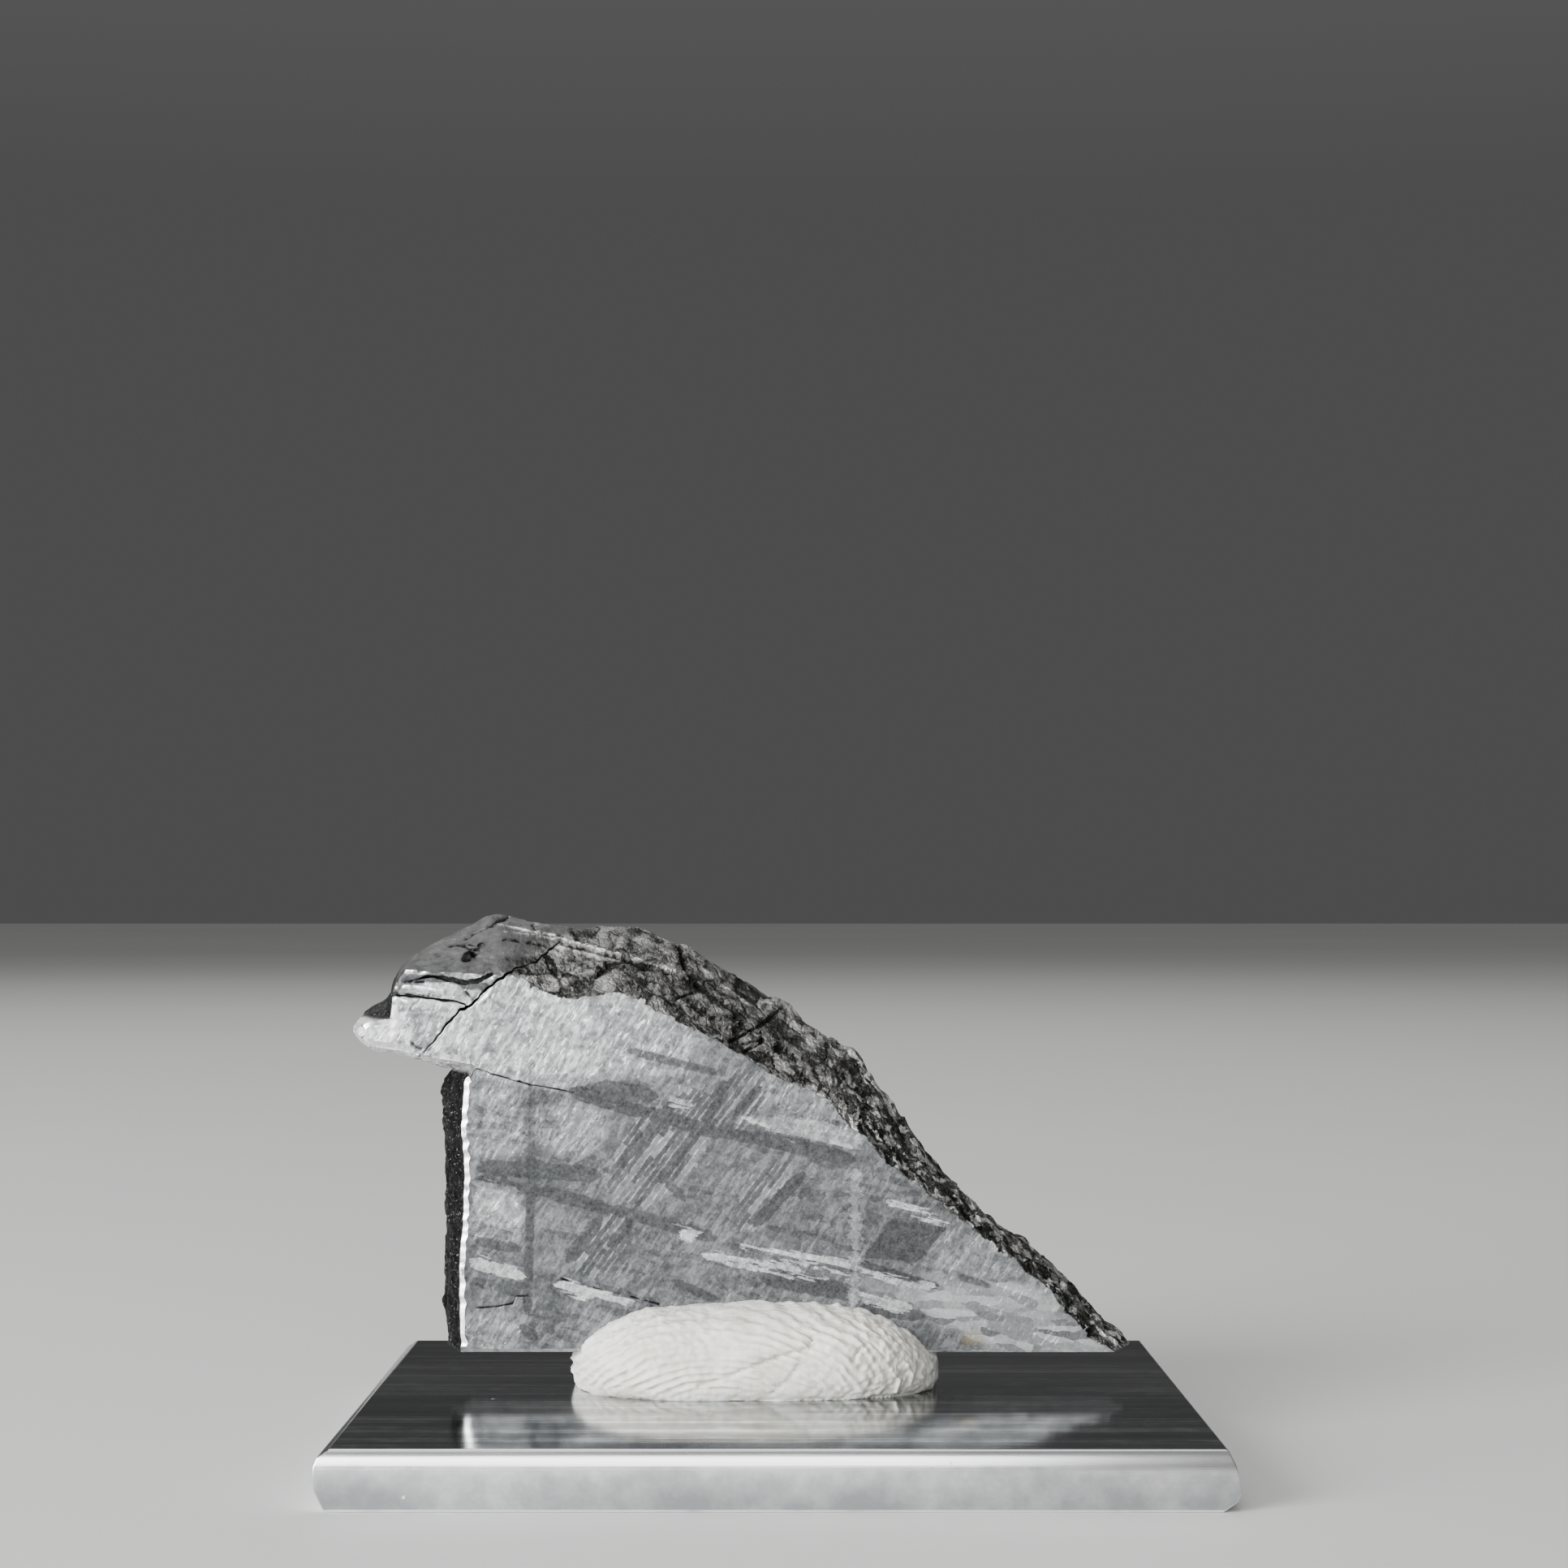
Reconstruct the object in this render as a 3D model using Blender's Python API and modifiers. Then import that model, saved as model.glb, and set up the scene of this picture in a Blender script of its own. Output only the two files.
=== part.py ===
"""Slice of an iron meteorite, pressed into putty on a short length of flat aluminium bar.

Metres, +Z up. Seen from the front, +X runs to the right along the sawn face and +Y runs
away from the viewer. The origin is the middle of the plate's underside.
"""
import math

import bmesh
import bpy
from mathutils import Vector
from mathutils import noise

MM = 0.001
CLEARANCE = 0.3 * MM

# Plate: a length of flat bar with filed ends.
PLATE_WIDTH = 47.0 * MM
PLATE_DEPTH = 38.1 * MM
PLATE_THICKNESS = 3.175 * MM
PLATE_EDGE_RADIUS = 0.16 * MM
# Height on the bar, then how far the left end and the right end are filed back there.
PLATE_END_FILING = (
    (0.0, 0.62, 0.80),
    (0.5, 0.38, 0.22),
    (1.0, 0.13, 0.00),
    (1.6, 0.01, 0.10),
    (2.3, 0.05, 0.24),
    (2.8, 0.26, 0.48),
    (3.175, 0.75, 0.63),
)

# Meteorite: a slice that stands upright over the plate, its sawn face to the front.
SAWN_FACE_Y = -0.55 * MM
UNDERSIDE_Z = 5.34 * MM
CRUST_CELL = 0.64 * MM
BACK_CELL = 1.02 * MM
BACK_BULGE = 1.7 * MM
LUMP_SIZE = 2.1 * MM
GRAIN_SIZE = 1.05 * MM
THUMBPRINT_SIZE = 6.5 * MM

# The sawn face's edge, clockwise from its lower left corner, in millimetres: x and z of the
# edge, then how far the crust swells sideways and upwards past it.
# brow: how deep behind the sawn face the crust is widest.  back: where the back edge lies.
# turn: how far the crust turns in again by the back edge.  rough: height of its lumps.
STRETCHES = (
    dict(name="broken left side", brow=2.9, back=7.6, turn=0.5, rough=0.22, edge=(
        (-17.9, 5.34, -1.1, 0.0),
        (-18.0, 8.4, -1.2, 0.0),
        (-18.0, 10.8, -1.2, -0.1),
        (-17.8, 12.5, -1.3, -0.1),
        (-17.7, 15.7, -1.5, -0.2),
        (-17.9, 18.0, -1.4, -0.1),
        (-17.7, 20.9, -1.6, -0.3))),
    dict(name="beak", brow=2.6, back=6.4, turn=0.45, rough=0.07, edge=(
        (-17.2, 21.6, -1.5, -0.4),
        (-18.7, 21.9, -0.9, -0.6),
        (-20.1, 22.1, -0.5, -0.4),
        (-21.3, 22.4, -0.6, -0.3),
        (-22.7, 22.6, -0.4, -0.4),
        (-23.5, 23.0, -0.5, -0.3),
        (-23.8, 23.5, -0.6, -0.1),
        (-23.5, 23.9, -0.6, 0.2),
        (-22.8, 24.15, -0.8, 0.5),
        (-21.9, 24.2, -0.8, 0.9),
        (-21.8, 25.0, -0.5, 0.3),
        (-21.7, 26.0, -0.5, -0.1),
        (-21.0, 27.0, -0.7, 0.1))),
    dict(name="flat facet on the beak", brow=4.2, back=7.0, turn=0.9, rough=0.05, edge=(
        (-19.6, 26.9, -1.3, 1.0),
        (-18.0, 26.8, -1.4, 1.9),
        (-16.4, 26.7, -1.4, 2.8),
        (-15.4, 26.6, -1.4, 3.5),
        (-14.5, 26.5, -1.5, 3.7))),
    dict(name="crest", brow=4.0, back=7.6, turn=1.2, rough=0.30, edge=(
        (-13.9, 25.9, -0.9, 4.0),
        (-12.3, 25.4, -1.1, 4.2),
        (-10.7, 25.4, -1.1, 3.9),
        (-8.8, 25.8, 0.2, 3.6),
        (-7.2, 25.0, 0.2, 3.9),
        (-5.2, 23.9, -0.2, 4.4),
        (-3.0, 22.8, -0.4, 4.5),
        (-0.8, 21.4, -0.2, 4.4),
        (1.5, 20.2, 0.2, 3.7))),
    dict(name="right slope", brow=3.4, back=7.6, turn=1.1, rough=0.30, edge=(
        (3.0, 19.5, 1.0, 3.1),
        (4.0, 18.3, 1.1, 3.0),
        (5.2, 17.2, 1.0, 2.9),
        (6.7, 15.8, 0.8, 2.2),
        (8.8, 14.2, 0.7, 1.3),
        (10.4, 12.9, 1.2, 0.4),
        (13.0, 10.9, 1.2, 0.5),
        (15.3, 8.8, 1.3, 0.4),
        (17.3, 6.8, 1.3, 0.5),
        (19.1, 5.34, 1.25, 0.0))),
    dict(name="sawn underside", brow=3.0, back=7.9, turn=0.0, rough=0.0, edge=()),
)

# Cracks and open seams, as x and z along each one in millimetres.
CRACKS = (
    dict(name="open crack behind the beak", width=0.20, depth=4.6, path=(
        (-12.5, 28.5), (-13.3, 27.8), (-13.8, 27.35), (-14.9, 27.0), (-15.5, 26.55),
        (-16.5, 25.9), (-17.3, 24.9), (-17.9, 24.75), (-18.5, 24.1), (-19.4, 22.9),
        (-20.4, 22.0))),
    dict(name="upper seam on the beak", width=0.30, depth=1.2, path=(
        (-20.8, 26.35), (-19.5, 26.62), (-18.7, 26.45), (-17.4, 26.15), (-16.7, 26.45),
        (-16.1, 26.75))),
    dict(name="lower seam on the beak", width=0.18, depth=0.9, path=(
        (-22.2, 25.5), (-20.8, 25.5), (-18.9, 25.3), (-17.6, 25.0))),
    dict(name="crack across the sawn face", width=0.12, depth=0.6, path=(
        (-17.3, 20.9), (-17.05, 21.4), (-16.4, 21.2), (-14.6, 20.6), (-12.7, 20.25),
        (-11.4, 20.0))),
)
# Pits on the beak's facet: x, y behind the sawn face, z and radius in millimetres.
PITS = ((-17.35, 1.6, 27.85, 0.42), (-16.95, 2.2, 28.25, 0.26))

# Putty: a lump pressed round the slice's lower edge.
PUTTY_CENTRE = (-1.2 * MM, 3.1 * MM, 5.05 * MM)
PUTTY_HALF_SIZE = (10.45 * MM, 7.95 * MM, 3.25 * MM)
PUTTY_SQUARENESS = 0.64
PUTTY_CUTS = 12
SLOT_BACK_Y = 8.0 * MM
SLOT_FLARE = 1.9 * MM


def material(name, colour, roughness, metallic):
    mat = bpy.data.materials.new(name)
    mat.use_nodes = True
    shader = mat.node_tree.nodes["Principled BSDF"]
    shader.inputs["Base Color"].default_value = (*colour, 1.0)
    shader.inputs["Roughness"].default_value = roughness
    shader.inputs["Metallic"].default_value = metallic
    return mat


def new_object(name, bm, collection, mat=None):
    mesh = bpy.data.meshes.new(name)
    bm.to_mesh(mesh)
    bm.free()
    obj = bpy.data.objects.new(name, mesh)
    collection.objects.link(obj)
    if mat:
        mesh.materials.append(mat)
    return obj


def make_cutter(name, bm, collection):
    obj = new_object(name, bm, collection)
    obj.hide_render = True
    obj.display_type = "WIRE"
    return obj


def cut(target, cutter):
    mod = target.modifiers.new(cutter.name, "BOOLEAN")
    mod.operation = "DIFFERENCE"
    mod.solver = "EXACT"
    mod.object = cutter


def base_plate(parts):
    """Flat bar: a box, sliced at the heights where its filed ends change, and eased."""
    bm = bmesh.new()
    bmesh.ops.create_cube(bm, size=1.0)
    bmesh.ops.scale(bm, vec=(PLATE_WIDTH, PLATE_DEPTH, PLATE_THICKNESS), verts=bm.verts)
    bmesh.ops.translate(bm, vec=(0.0, 0.0, PLATE_THICKNESS / 2), verts=bm.verts)
    for height, _, _ in PLATE_END_FILING[1:-1]:
        bmesh.ops.bisect_plane(bm, geom=bm.verts[:] + bm.edges[:] + bm.faces[:],
                               plane_co=(0.0, 0.0, height * MM), plane_no=(0.0, 0.0, 1.0))
    for vert in bm.verts:
        _, left, right = min(PLATE_END_FILING, key=lambda row: abs(row[0] * MM - vert.co.z))
        if vert.co.x < 0.0:
            vert.co.x += left * MM
        else:
            vert.co.x -= right * MM
    long_edges = [edge for edge in bm.edges
                  if all(abs(abs(v.co.y) - PLATE_DEPTH / 2) < 1e-6 for v in edge.verts)
                  and edge.calc_face_angle(0.0) > 1.0
                  and abs(edge.verts[0].co.z - edge.verts[1].co.z) < 1e-6]
    bmesh.ops.bevel(bm, geom=long_edges, offset=PLATE_EDGE_RADIUS, segments=3, profile=0.5,
                    affect="EDGES", clamp_overlap=True)
    bmesh.ops.recalc_face_normals(bm, faces=bm.faces)
    plate = new_object("base_plate", bm, parts,
                       material("brushed aluminium", (0.56, 0.57, 0.58), 0.28, 1.0))
    plate.data.shade_smooth()
    plate.data.set_sharp_from_angle(angle=math.radians(28))
    return plate


def edge_stations():
    """Points along the sawn edge, evenly spaced, each with its swell and its stretch."""
    marks = []
    for stretch in STRETCHES:
        for x, z, out_x, out_z in stretch["edge"]:
            marks.append((Vector((x, z)) * MM, Vector((out_x, out_z)) * MM, stretch))
    stations = []
    for index, (point, swell, stretch) in enumerate(marks):
        after, swell_after, _ = marks[(index + 1) % len(marks)]
        kind = stretch
        if index == len(marks) - 1:
            kind = STRETCHES[-1]
        steps = max(1, round((after - point).length / CRUST_CELL))
        for step in range(steps):
            part = step / steps
            stations.append((point.lerp(after, part), swell.lerp(swell_after, part), kind))
    return stations


def blended(stations, key, reach=3):
    """A stretch's value at each station, averaged over its neighbours."""
    count = len(stations)
    values = []
    for index in range(count):
        near = [stations[(index + k) % count][2][key] for k in range(-reach, reach + 1)]
        values.append(sum(near) / len(near))
    return values


def meteorite_body(parts):
    """Loft from the sawn edge over the swollen crust to the back edge, then a domed back."""
    stations = edge_stations()
    count = len(stations)
    brow = blended(stations, "brow")
    back = blended(stations, "back")
    turn = blended(stations, "turn")
    rough = blended(stations, "rough", 1)

    widest = [point + swell for point, swell, _ in stations]
    inward = []
    for index in range(count):
        along = widest[(index + 2) % count] - widest[index - 2]
        inward.append(Vector((along.y, -along.x)).normalized())

    front_rows = 5
    back_rows = 6
    bm = bmesh.new()
    roughness = bm.verts.layers.float.new("rough")
    is_back = bm.faces.layers.int.new("back")
    rings = []
    for row in range(front_rows + back_rows + 1):
        ring = []
        for index, (point, swell, stretch) in enumerate(stations):
            if row <= front_rows:
                part = row / front_rows
                flat = point + swell * part ** 0.85
                depth = brow[index] * part
            else:
                part = (row - front_rows) / back_rows
                flat = widest[index] + inward[index] * turn[index] * MM * part ** 2
                depth = brow[index] + (back[index] - brow[index]) * part
            height = flat.y
            lift = 1.0
            if stretch["name"] == "sawn underside":
                height = UNDERSIDE_Z
                lift = 0.0
            height = max(height, UNDERSIDE_Z)
            vert = bm.verts.new((flat.x, SAWN_FACE_Y + depth * MM, height))
            vert[roughness] = rough[index] * lift * min(1.0, row / 2)
            ring.append(vert)
        rings.append(ring)
    for ring, behind in zip(rings, rings[1:]):
        for index in range(count):
            after = (index + 1) % count
            bm.faces.new((ring[index], behind[index], behind[after], ring[after]))
    bm.faces.new(rings[0])
    rear = bm.faces.new(list(reversed(rings[-1])))
    rear[is_back] = 1
    bmesh.ops.recalc_face_normals(bm, faces=bm.faces)

    edge_points = [vert.co.copy() for vert in rings[-1]]
    for axis, low, high in ((0, -25.0, 21.0), (2, 5.0, 31.0)):
        place = low * MM
        while place < high * MM:
            faces = [face for face in bm.faces if face[is_back] == 1]
            geom = list({v for f in faces for v in f.verts}) \
                + list({e for f in faces for e in f.edges}) + faces
            normal = Vector((0.0, 0.0, 0.0))
            normal[axis] = 1.0
            bmesh.ops.bisect_plane(bm, geom=geom, dist=0.12 * MM, plane_co=normal * place,
                                   plane_no=normal)
            place += BACK_CELL
    for vert in bm.verts:
        if not vert.link_faces or not all(face[is_back] == 1 for face in vert.link_faces):
            continue
        inside = min((vert.co - point).length for point in edge_points)
        rise = 1.0 - math.exp(-inside / (3.2 * MM))
        vert.co.y += BACK_BULGE * rise
        vert[roughness] = 0.34

    bm.normal_update()
    moves = []
    for vert in bm.verts:
        height = vert[roughness]
        if height == 0.0:
            continue
        near, next_near = noise.voronoi(vert.co / LUMP_SIZE)[0][:2]
        grains = noise.noise(vert.co / GRAIN_SIZE + Vector((7.0, 3.0, 1.0)))
        relief = (next_near - near) * 1.7 - 0.62 + grains * 0.7
        if all(face[is_back] == 1 for face in vert.link_faces):
            dish, rim = noise.voronoi(vert.co / THUMBPRINT_SIZE)[0][:2]
            relief = relief * 0.4 + math.exp(-(rim - dish) / 0.35) * 2.6 - 1.1
        moves.append((vert, vert.normal * height * MM * relief))
    for vert, move in moves:
        vert.co += move
        vert.co.z = max(vert.co.z, UNDERSIDE_Z)
        vert.co.y = max(vert.co.y, SAWN_FACE_Y + 0.05 * MM)
    return new_object("meteorite", bm, parts,
                      material("etched iron", (0.34, 0.35, 0.35), 0.42, 0.9))


def crack_cutter(crack, cutters):
    """A thin blade that follows the crack's line and reaches back from the sawn face."""
    bm = bmesh.new()
    row = [bm.verts.new((x * MM, SAWN_FACE_Y - 1.0 * MM, z * MM)) for x, z in crack["path"]]
    edges = [bm.edges.new(pair) for pair in zip(row, row[1:])]
    deeper = bmesh.ops.extrude_edge_only(bm, edges=edges)["geom"]
    bmesh.ops.translate(bm, vec=(0.0, (1.0 + crack["depth"]) * MM, 0.0),
                        verts=[item for item in deeper if isinstance(item, bmesh.types.BMVert)])
    blade = make_cutter(crack["name"].replace(" ", "_"), bm, cutters)
    solid = blade.modifiers.new("width", "SOLIDIFY")
    solid.thickness = crack["width"] * MM
    solid.offset = 0.0
    return blade


def pit_cutter(number, pit, cutters):
    x, y, z, radius = pit
    bm = bmesh.new()
    bmesh.ops.create_uvsphere(bm, u_segments=10, v_segments=6, radius=radius * MM)
    bmesh.ops.translate(bm, vec=(x * MM, SAWN_FACE_Y + y * MM, z * MM), verts=bm.verts)
    return make_cutter("pit_%d" % number, bm, cutters)


def meteorite(parts, cutters):
    body = meteorite_body(parts)
    for crack in CRACKS:
        cut(body, crack_cutter(crack, cutters))
    for number, pit in enumerate(PITS):
        cut(body, pit_cutter(number, pit, cutters))
    return body


def rounded(value, squareness):
    """Push a coordinate of the unit sphere outwards, so that the ball becomes a pillow."""
    return math.copysign(abs(value) ** squareness, value)


def mounting_putty(parts, cutters):
    """A pillow of putty: a box blown up to a ball, squared off and laid flat on the plate."""
    floor = PLATE_THICKNESS + CLEARANCE
    bm = bmesh.new()
    bmesh.ops.create_cube(bm, size=2.0)
    bmesh.ops.subdivide_edges(bm, edges=bm.edges[:], cuts=PUTTY_CUTS, use_grid_fill=True)
    for vert in bm.verts:
        ball = vert.co.normalized()
        x, y, z = (rounded(value, PUTTY_SQUARENESS) for value in ball)
        if x > 0.35 and z > 0.0:
            z *= 1.0 - 0.32 * (x - 0.35) ** 1.5
        vert.co = Vector((PUTTY_CENTRE[0] + x * PUTTY_HALF_SIZE[0],
                          PUTTY_CENTRE[1] + y * PUTTY_HALF_SIZE[1],
                          PUTTY_CENTRE[2] + z * PUTTY_HALF_SIZE[2]))
        dent = noise.noise(vert.co / (4.5 * MM)) * 0.22 + noise.noise(vert.co / (1.8 * MM)) * 0.05
        vert.co += ball * dent * MM
    cutoff = bmesh.ops.bisect_plane(bm, geom=bm.verts[:] + bm.edges[:] + bm.faces[:],
                                    plane_co=(0.0, 0.0, floor), plane_no=(0.0, 0.0, -1.0),
                                    clear_outer=True)
    rim = [item for item in cutoff["geom_cut"] if isinstance(item, bmesh.types.BMEdge)]
    bmesh.ops.contextual_create(bm, geom=rim)
    bmesh.ops.recalc_face_normals(bm, faces=bm.faces)
    putty = new_object("mounting_putty", bm, parts,
                       material("off-white putty", (0.80, 0.78, 0.72), 0.62, 0.0))

    slot = bmesh.new()
    bmesh.ops.create_cube(slot, size=1.0)
    top = PUTTY_CENTRE[2] + PUTTY_HALF_SIZE[2] + 1.0 * MM
    front = SAWN_FACE_Y - CLEARANCE
    for vert in slot.verts:
        high = vert.co.z > 0.0
        flare = SLOT_FLARE if high else 0.0
        vert.co.x = math.copysign(22.0 * MM, vert.co.x)
        vert.co.y = front if vert.co.y < 0.0 else SLOT_BACK_Y + flare
        vert.co.z = top if high else UNDERSIDE_Z - CLEARANCE
    cut(putty, make_cutter("slot_for_the_slice", slot, cutters))
    return putty


def main():
    for obj in list(bpy.data.objects):
        bpy.data.objects.remove(obj, do_unlink=True)
    scene = bpy.context.scene
    parts = bpy.data.collections.new("mounted meteorite slice")
    cutters = bpy.data.collections.new("cutters")
    scene.collection.children.link(parts)
    scene.collection.children.link(cutters)
    base_plate(parts)
    meteorite(parts, cutters)
    mounting_putty(parts, cutters)


main()
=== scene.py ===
import bpy
import bmesh
import math
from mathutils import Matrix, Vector, noise
from mathutils.bvhtree import BVHTree
from mathutils.geometry import delaunay_2d_cdt
from mathutils.kdtree import KDTree


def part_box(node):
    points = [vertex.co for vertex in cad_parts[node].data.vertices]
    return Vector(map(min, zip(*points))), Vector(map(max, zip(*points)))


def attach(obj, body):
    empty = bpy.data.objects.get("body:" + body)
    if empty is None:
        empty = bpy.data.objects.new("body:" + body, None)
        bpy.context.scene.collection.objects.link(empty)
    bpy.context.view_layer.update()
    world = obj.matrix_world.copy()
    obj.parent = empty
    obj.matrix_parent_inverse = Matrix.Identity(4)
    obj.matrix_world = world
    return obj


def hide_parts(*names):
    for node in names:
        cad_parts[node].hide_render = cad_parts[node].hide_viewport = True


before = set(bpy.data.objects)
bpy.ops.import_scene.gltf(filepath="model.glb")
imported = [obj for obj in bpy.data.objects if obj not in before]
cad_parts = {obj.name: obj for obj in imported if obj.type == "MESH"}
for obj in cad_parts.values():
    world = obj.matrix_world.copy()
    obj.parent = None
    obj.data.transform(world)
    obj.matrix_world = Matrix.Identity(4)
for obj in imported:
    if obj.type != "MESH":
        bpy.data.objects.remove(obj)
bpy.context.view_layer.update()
noise.seed_set(7)       # the same crookedness in every run
mm = 0.001
print("stage: frame loaded")

# The photograph's view, worked out from the plate's edges and its reflection.
viewpoint = {
    "frameSize": 1932,
    "focalPixels": 3753,
    "place": (0.25 * mm, -172.85 * mm, 31.275 * mm),
    "middleRow": 1101,
    "middleColumn": 963,
    "sensor": 36,
    "nearest": 10 * mm,
    "deepestLine": 6 * mm,       # lines seen in the picture are drawn in front of this depth
}
bpy.ops.object.camera_add(location=viewpoint["place"], rotation=(math.radians(90), 0, 0))
camera = bpy.context.object
camera.name = "photoCamera"
camera.data.sensor_width = viewpoint["sensor"]
camera.data.lens = viewpoint["sensor"] * viewpoint["focalPixels"] / viewpoint["frameSize"]
camera.data.shift_y = viewpoint["middleRow"] / viewpoint["frameSize"] - 0.5
camera.data.shift_x = 0.5 - viewpoint["middleColumn"] / viewpoint["frameSize"]
camera.data.clip_start = viewpoint["nearest"]
bpy.context.scene.camera = camera


# Where a place in the picture lies, on the upright plane at this depth (y).
def seenAt(column, row, depth):
    x, y, z = viewpoint["place"]
    scale = (depth - y) / viewpoint["focalPixels"]
    return Vector((x + (column - viewpoint["middleColumn"]) * scale, depth,
                   z - (row - viewpoint["middleRow"]) * scale))


# Where a point shows in the picture, as column and row.
def pictureOf(point):
    x, y, z = viewpoint["place"]
    scale = (point.y - y) / viewpoint["focalPixels"]
    return (viewpoint["middleColumn"] + (point.x - x) / scale,
            viewpoint["middleRow"] - (point.z - z) / scale)


# Small helpers for selecting, editing and applying.

def pickOnly(obj):
    for other in bpy.context.selected_objects:
        other.select_set(False)
    obj.select_set(True)
    bpy.context.view_layer.objects.active = obj


# These two leave the mesh in edit mode, with the wanted faces or edges selected.
def selectFaces(obj, wanted):
    bpy.ops.object.mode_set(mode="EDIT")
    bpy.ops.mesh.select_mode(type="FACE")
    bpy.ops.mesh.select_all(action="DESELECT")
    bpy.ops.object.mode_set(mode="OBJECT")
    for poly in obj.data.polygons:
        poly.select = wanted(poly)
    bpy.ops.object.mode_set(mode="EDIT")


def selectEdges(obj, wanted):
    bpy.ops.object.mode_set(mode="EDIT")
    bpy.ops.mesh.select_mode(type="EDGE")
    bpy.ops.mesh.select_all(action="DESELECT")
    bm = bmesh.from_edit_mesh(obj.data)
    for edge in bm.edges:
        if wanted(edge):
            edge.select_set(True)
    bmesh.update_edit_mesh(obj.data)


# Edits a whole mesh with one of Blender's own tools.
def editWhole(obj, tool, **settings):
    pickOnly(obj)
    bpy.ops.object.mode_set(mode="EDIT")
    bpy.ops.mesh.select_all(action="SELECT")
    tool(**settings)
    bpy.ops.object.mode_set(mode="OBJECT")


def applyModifier(obj, kind, **settings):
    pickOnly(obj)
    modifier = obj.modifiers.new(kind.lower(), kind)
    for key, value in settings.items():
        setattr(modifier, key, value)
    bpy.ops.object.modifier_apply(modifier=modifier.name)


# A copy of a CAD node with its loose triangles joined up.
def looseCopy(node, name):
    piece = bpy.data.objects.new(name, node.data.copy())
    bpy.context.scene.collection.objects.link(piece)
    piece.data.materials.clear()
    pickOnly(piece)
    bpy.ops.mesh.customdata_custom_splitnormals_clear()
    editWhole(piece, bpy.ops.mesh.remove_doubles, threshold=0.002 * mm)
    return piece


# A mesh taken out to be sculpted point by point, and put back.
def meshToSculpt(piece):
    bm = bmesh.new()
    bm.from_mesh(piece.data)
    bm.normal_update()
    return bm


def keepSculpted(bm, piece):
    bm.to_mesh(piece.data)
    bm.free()


# Shades a piece smooth, apart from edges sharper than this angle.
def smoothShade(obj, angle):
    pickOnly(obj)
    bpy.ops.object.shade_smooth_by_angle(angle=angle)


def finishPiece(obj, slotName, *nodes):
    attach(obj, "root")
    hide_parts(*nodes)
    print("stage:", obj.name, len(obj.data.polygons), "faces")


# From 0 at the low value to 1 at the high one, with an eased start and end.
def smoothStep(value, low, high):
    part = min(1.0, max(0.0, (value - low) / (high - low)))
    return part * part * (3 - 2 * part)


# Small helpers for materials.

def put(tree, kind, inputs=None, **settings):
    node = tree.nodes.new(kind)
    for key, value in settings.items():
        setattr(node, key, value)
    for key, value in (inputs or {}).items():
        if isinstance(value, bpy.types.NodeSocket):
            tree.links.new(value, node.inputs[key])
        else:
            node.inputs[key].default_value = value
    return node


def maths(tree, operation, first, second=0.0, clamp=False):
    return put(tree, "ShaderNodeMath", {0: first, 1: second}, operation=operation,
               use_clamp=clamp).outputs[0]


def add(tree, first, second, clamp=False):
    return maths(tree, "ADD", first, second, clamp)


def less(tree, first, second, clamp=False):
    return maths(tree, "SUBTRACT", first, second, clamp)


def times(tree, first, second):
    return maths(tree, "MULTIPLY", first, second)


# The sum of several values, each with its share.
def sumOf(tree, *parts):
    total = None
    for value, share in parts:
        part = value if share == 1 else times(tree, value, share)
        total = part if total is None else add(tree, total, part)
    return total


# A noise between 0 and 1 made to swing about zero, this far in all.
def around(tree, value, size):
    return times(tree, less(tree, value, 0.5), size)


def vectorMaths(tree, operation, first, second=(0, 0, 0)):
    return put(tree, "ShaderNodeVectorMath", {0: first, 1: second},
               operation=operation).outputs[0]


def stretch(tree, place, amounts):
    return vectorMaths(tree, "MULTIPLY", place, amounts)


# A place turned in the plane of the sawn face.
def turned(tree, place, angle):
    return put(tree, "ShaderNodeVectorRotate", {"Vector": place, "Angle": angle},
               rotation_type="Y_AXIS").outputs[0]


def axes(tree, place):
    return put(tree, "ShaderNodeSeparateXYZ", {0: place}).outputs


def redOf(tree, colour):
    return put(tree, "ShaderNodeSeparateColor", {0: colour}).outputs["Red"]


def smoothRange(tree, value, low, high, toLow=0.0, toHigh=1.0):
    return put(tree, "ShaderNodeMapRange", {"Value": value, "From Min": low, "From Max": high,
                                            "To Min": toLow, "To Max": toHigh},
               interpolation_type="SMOOTHSTEP").outputs["Result"]


def blendValue(tree, factor, first, second):
    return put(tree, "ShaderNodeMix", {"Factor": factor, "A": first, "B": second},
               data_type="FLOAT").outputs["Result"]


def blendColour(tree, factor, first, second):
    return put(tree, "ShaderNodeMix", {"Factor": factor, "A": first, "B": second},
               data_type="RGBA").outputs["Result"]


def cloudy(tree, place, scale, detail=2.0, roughness=0.5, output="Fac"):
    return put(tree, "ShaderNodeTexNoise", {"Vector": place, "Scale": scale, "Detail": detail,
                                            "Roughness": roughness}).outputs[output]


# A place pushed about by noise, so that what is drawn there runs crooked.
def crooked(tree, place, scale, detail, amounts):
    waver = cloudy(tree, place, scale, detail, 0.6, "Color")
    push = stretch(tree, vectorMaths(tree, "SUBTRACT", waver, (0.5, 0.5, 0.5)), amounts)
    return vectorMaths(tree, "ADD", place, push)


# A value that the mesh carries.
def painted(tree, name):
    return put(tree, "ShaderNodeAttribute", attribute_name=name).outputs["Fac"]


def ramp(tree, value, stops):
    node = put(tree, "ShaderNodeValToRGB", {"Fac": value})
    elements = node.color_ramp.elements
    while len(elements) < len(stops):
        elements.new(0.5)
    for element, (place, colour) in zip(elements, stops):
        element.position = place
        element.color = (*colour, 1)
    return node.outputs["Color"]


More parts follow.
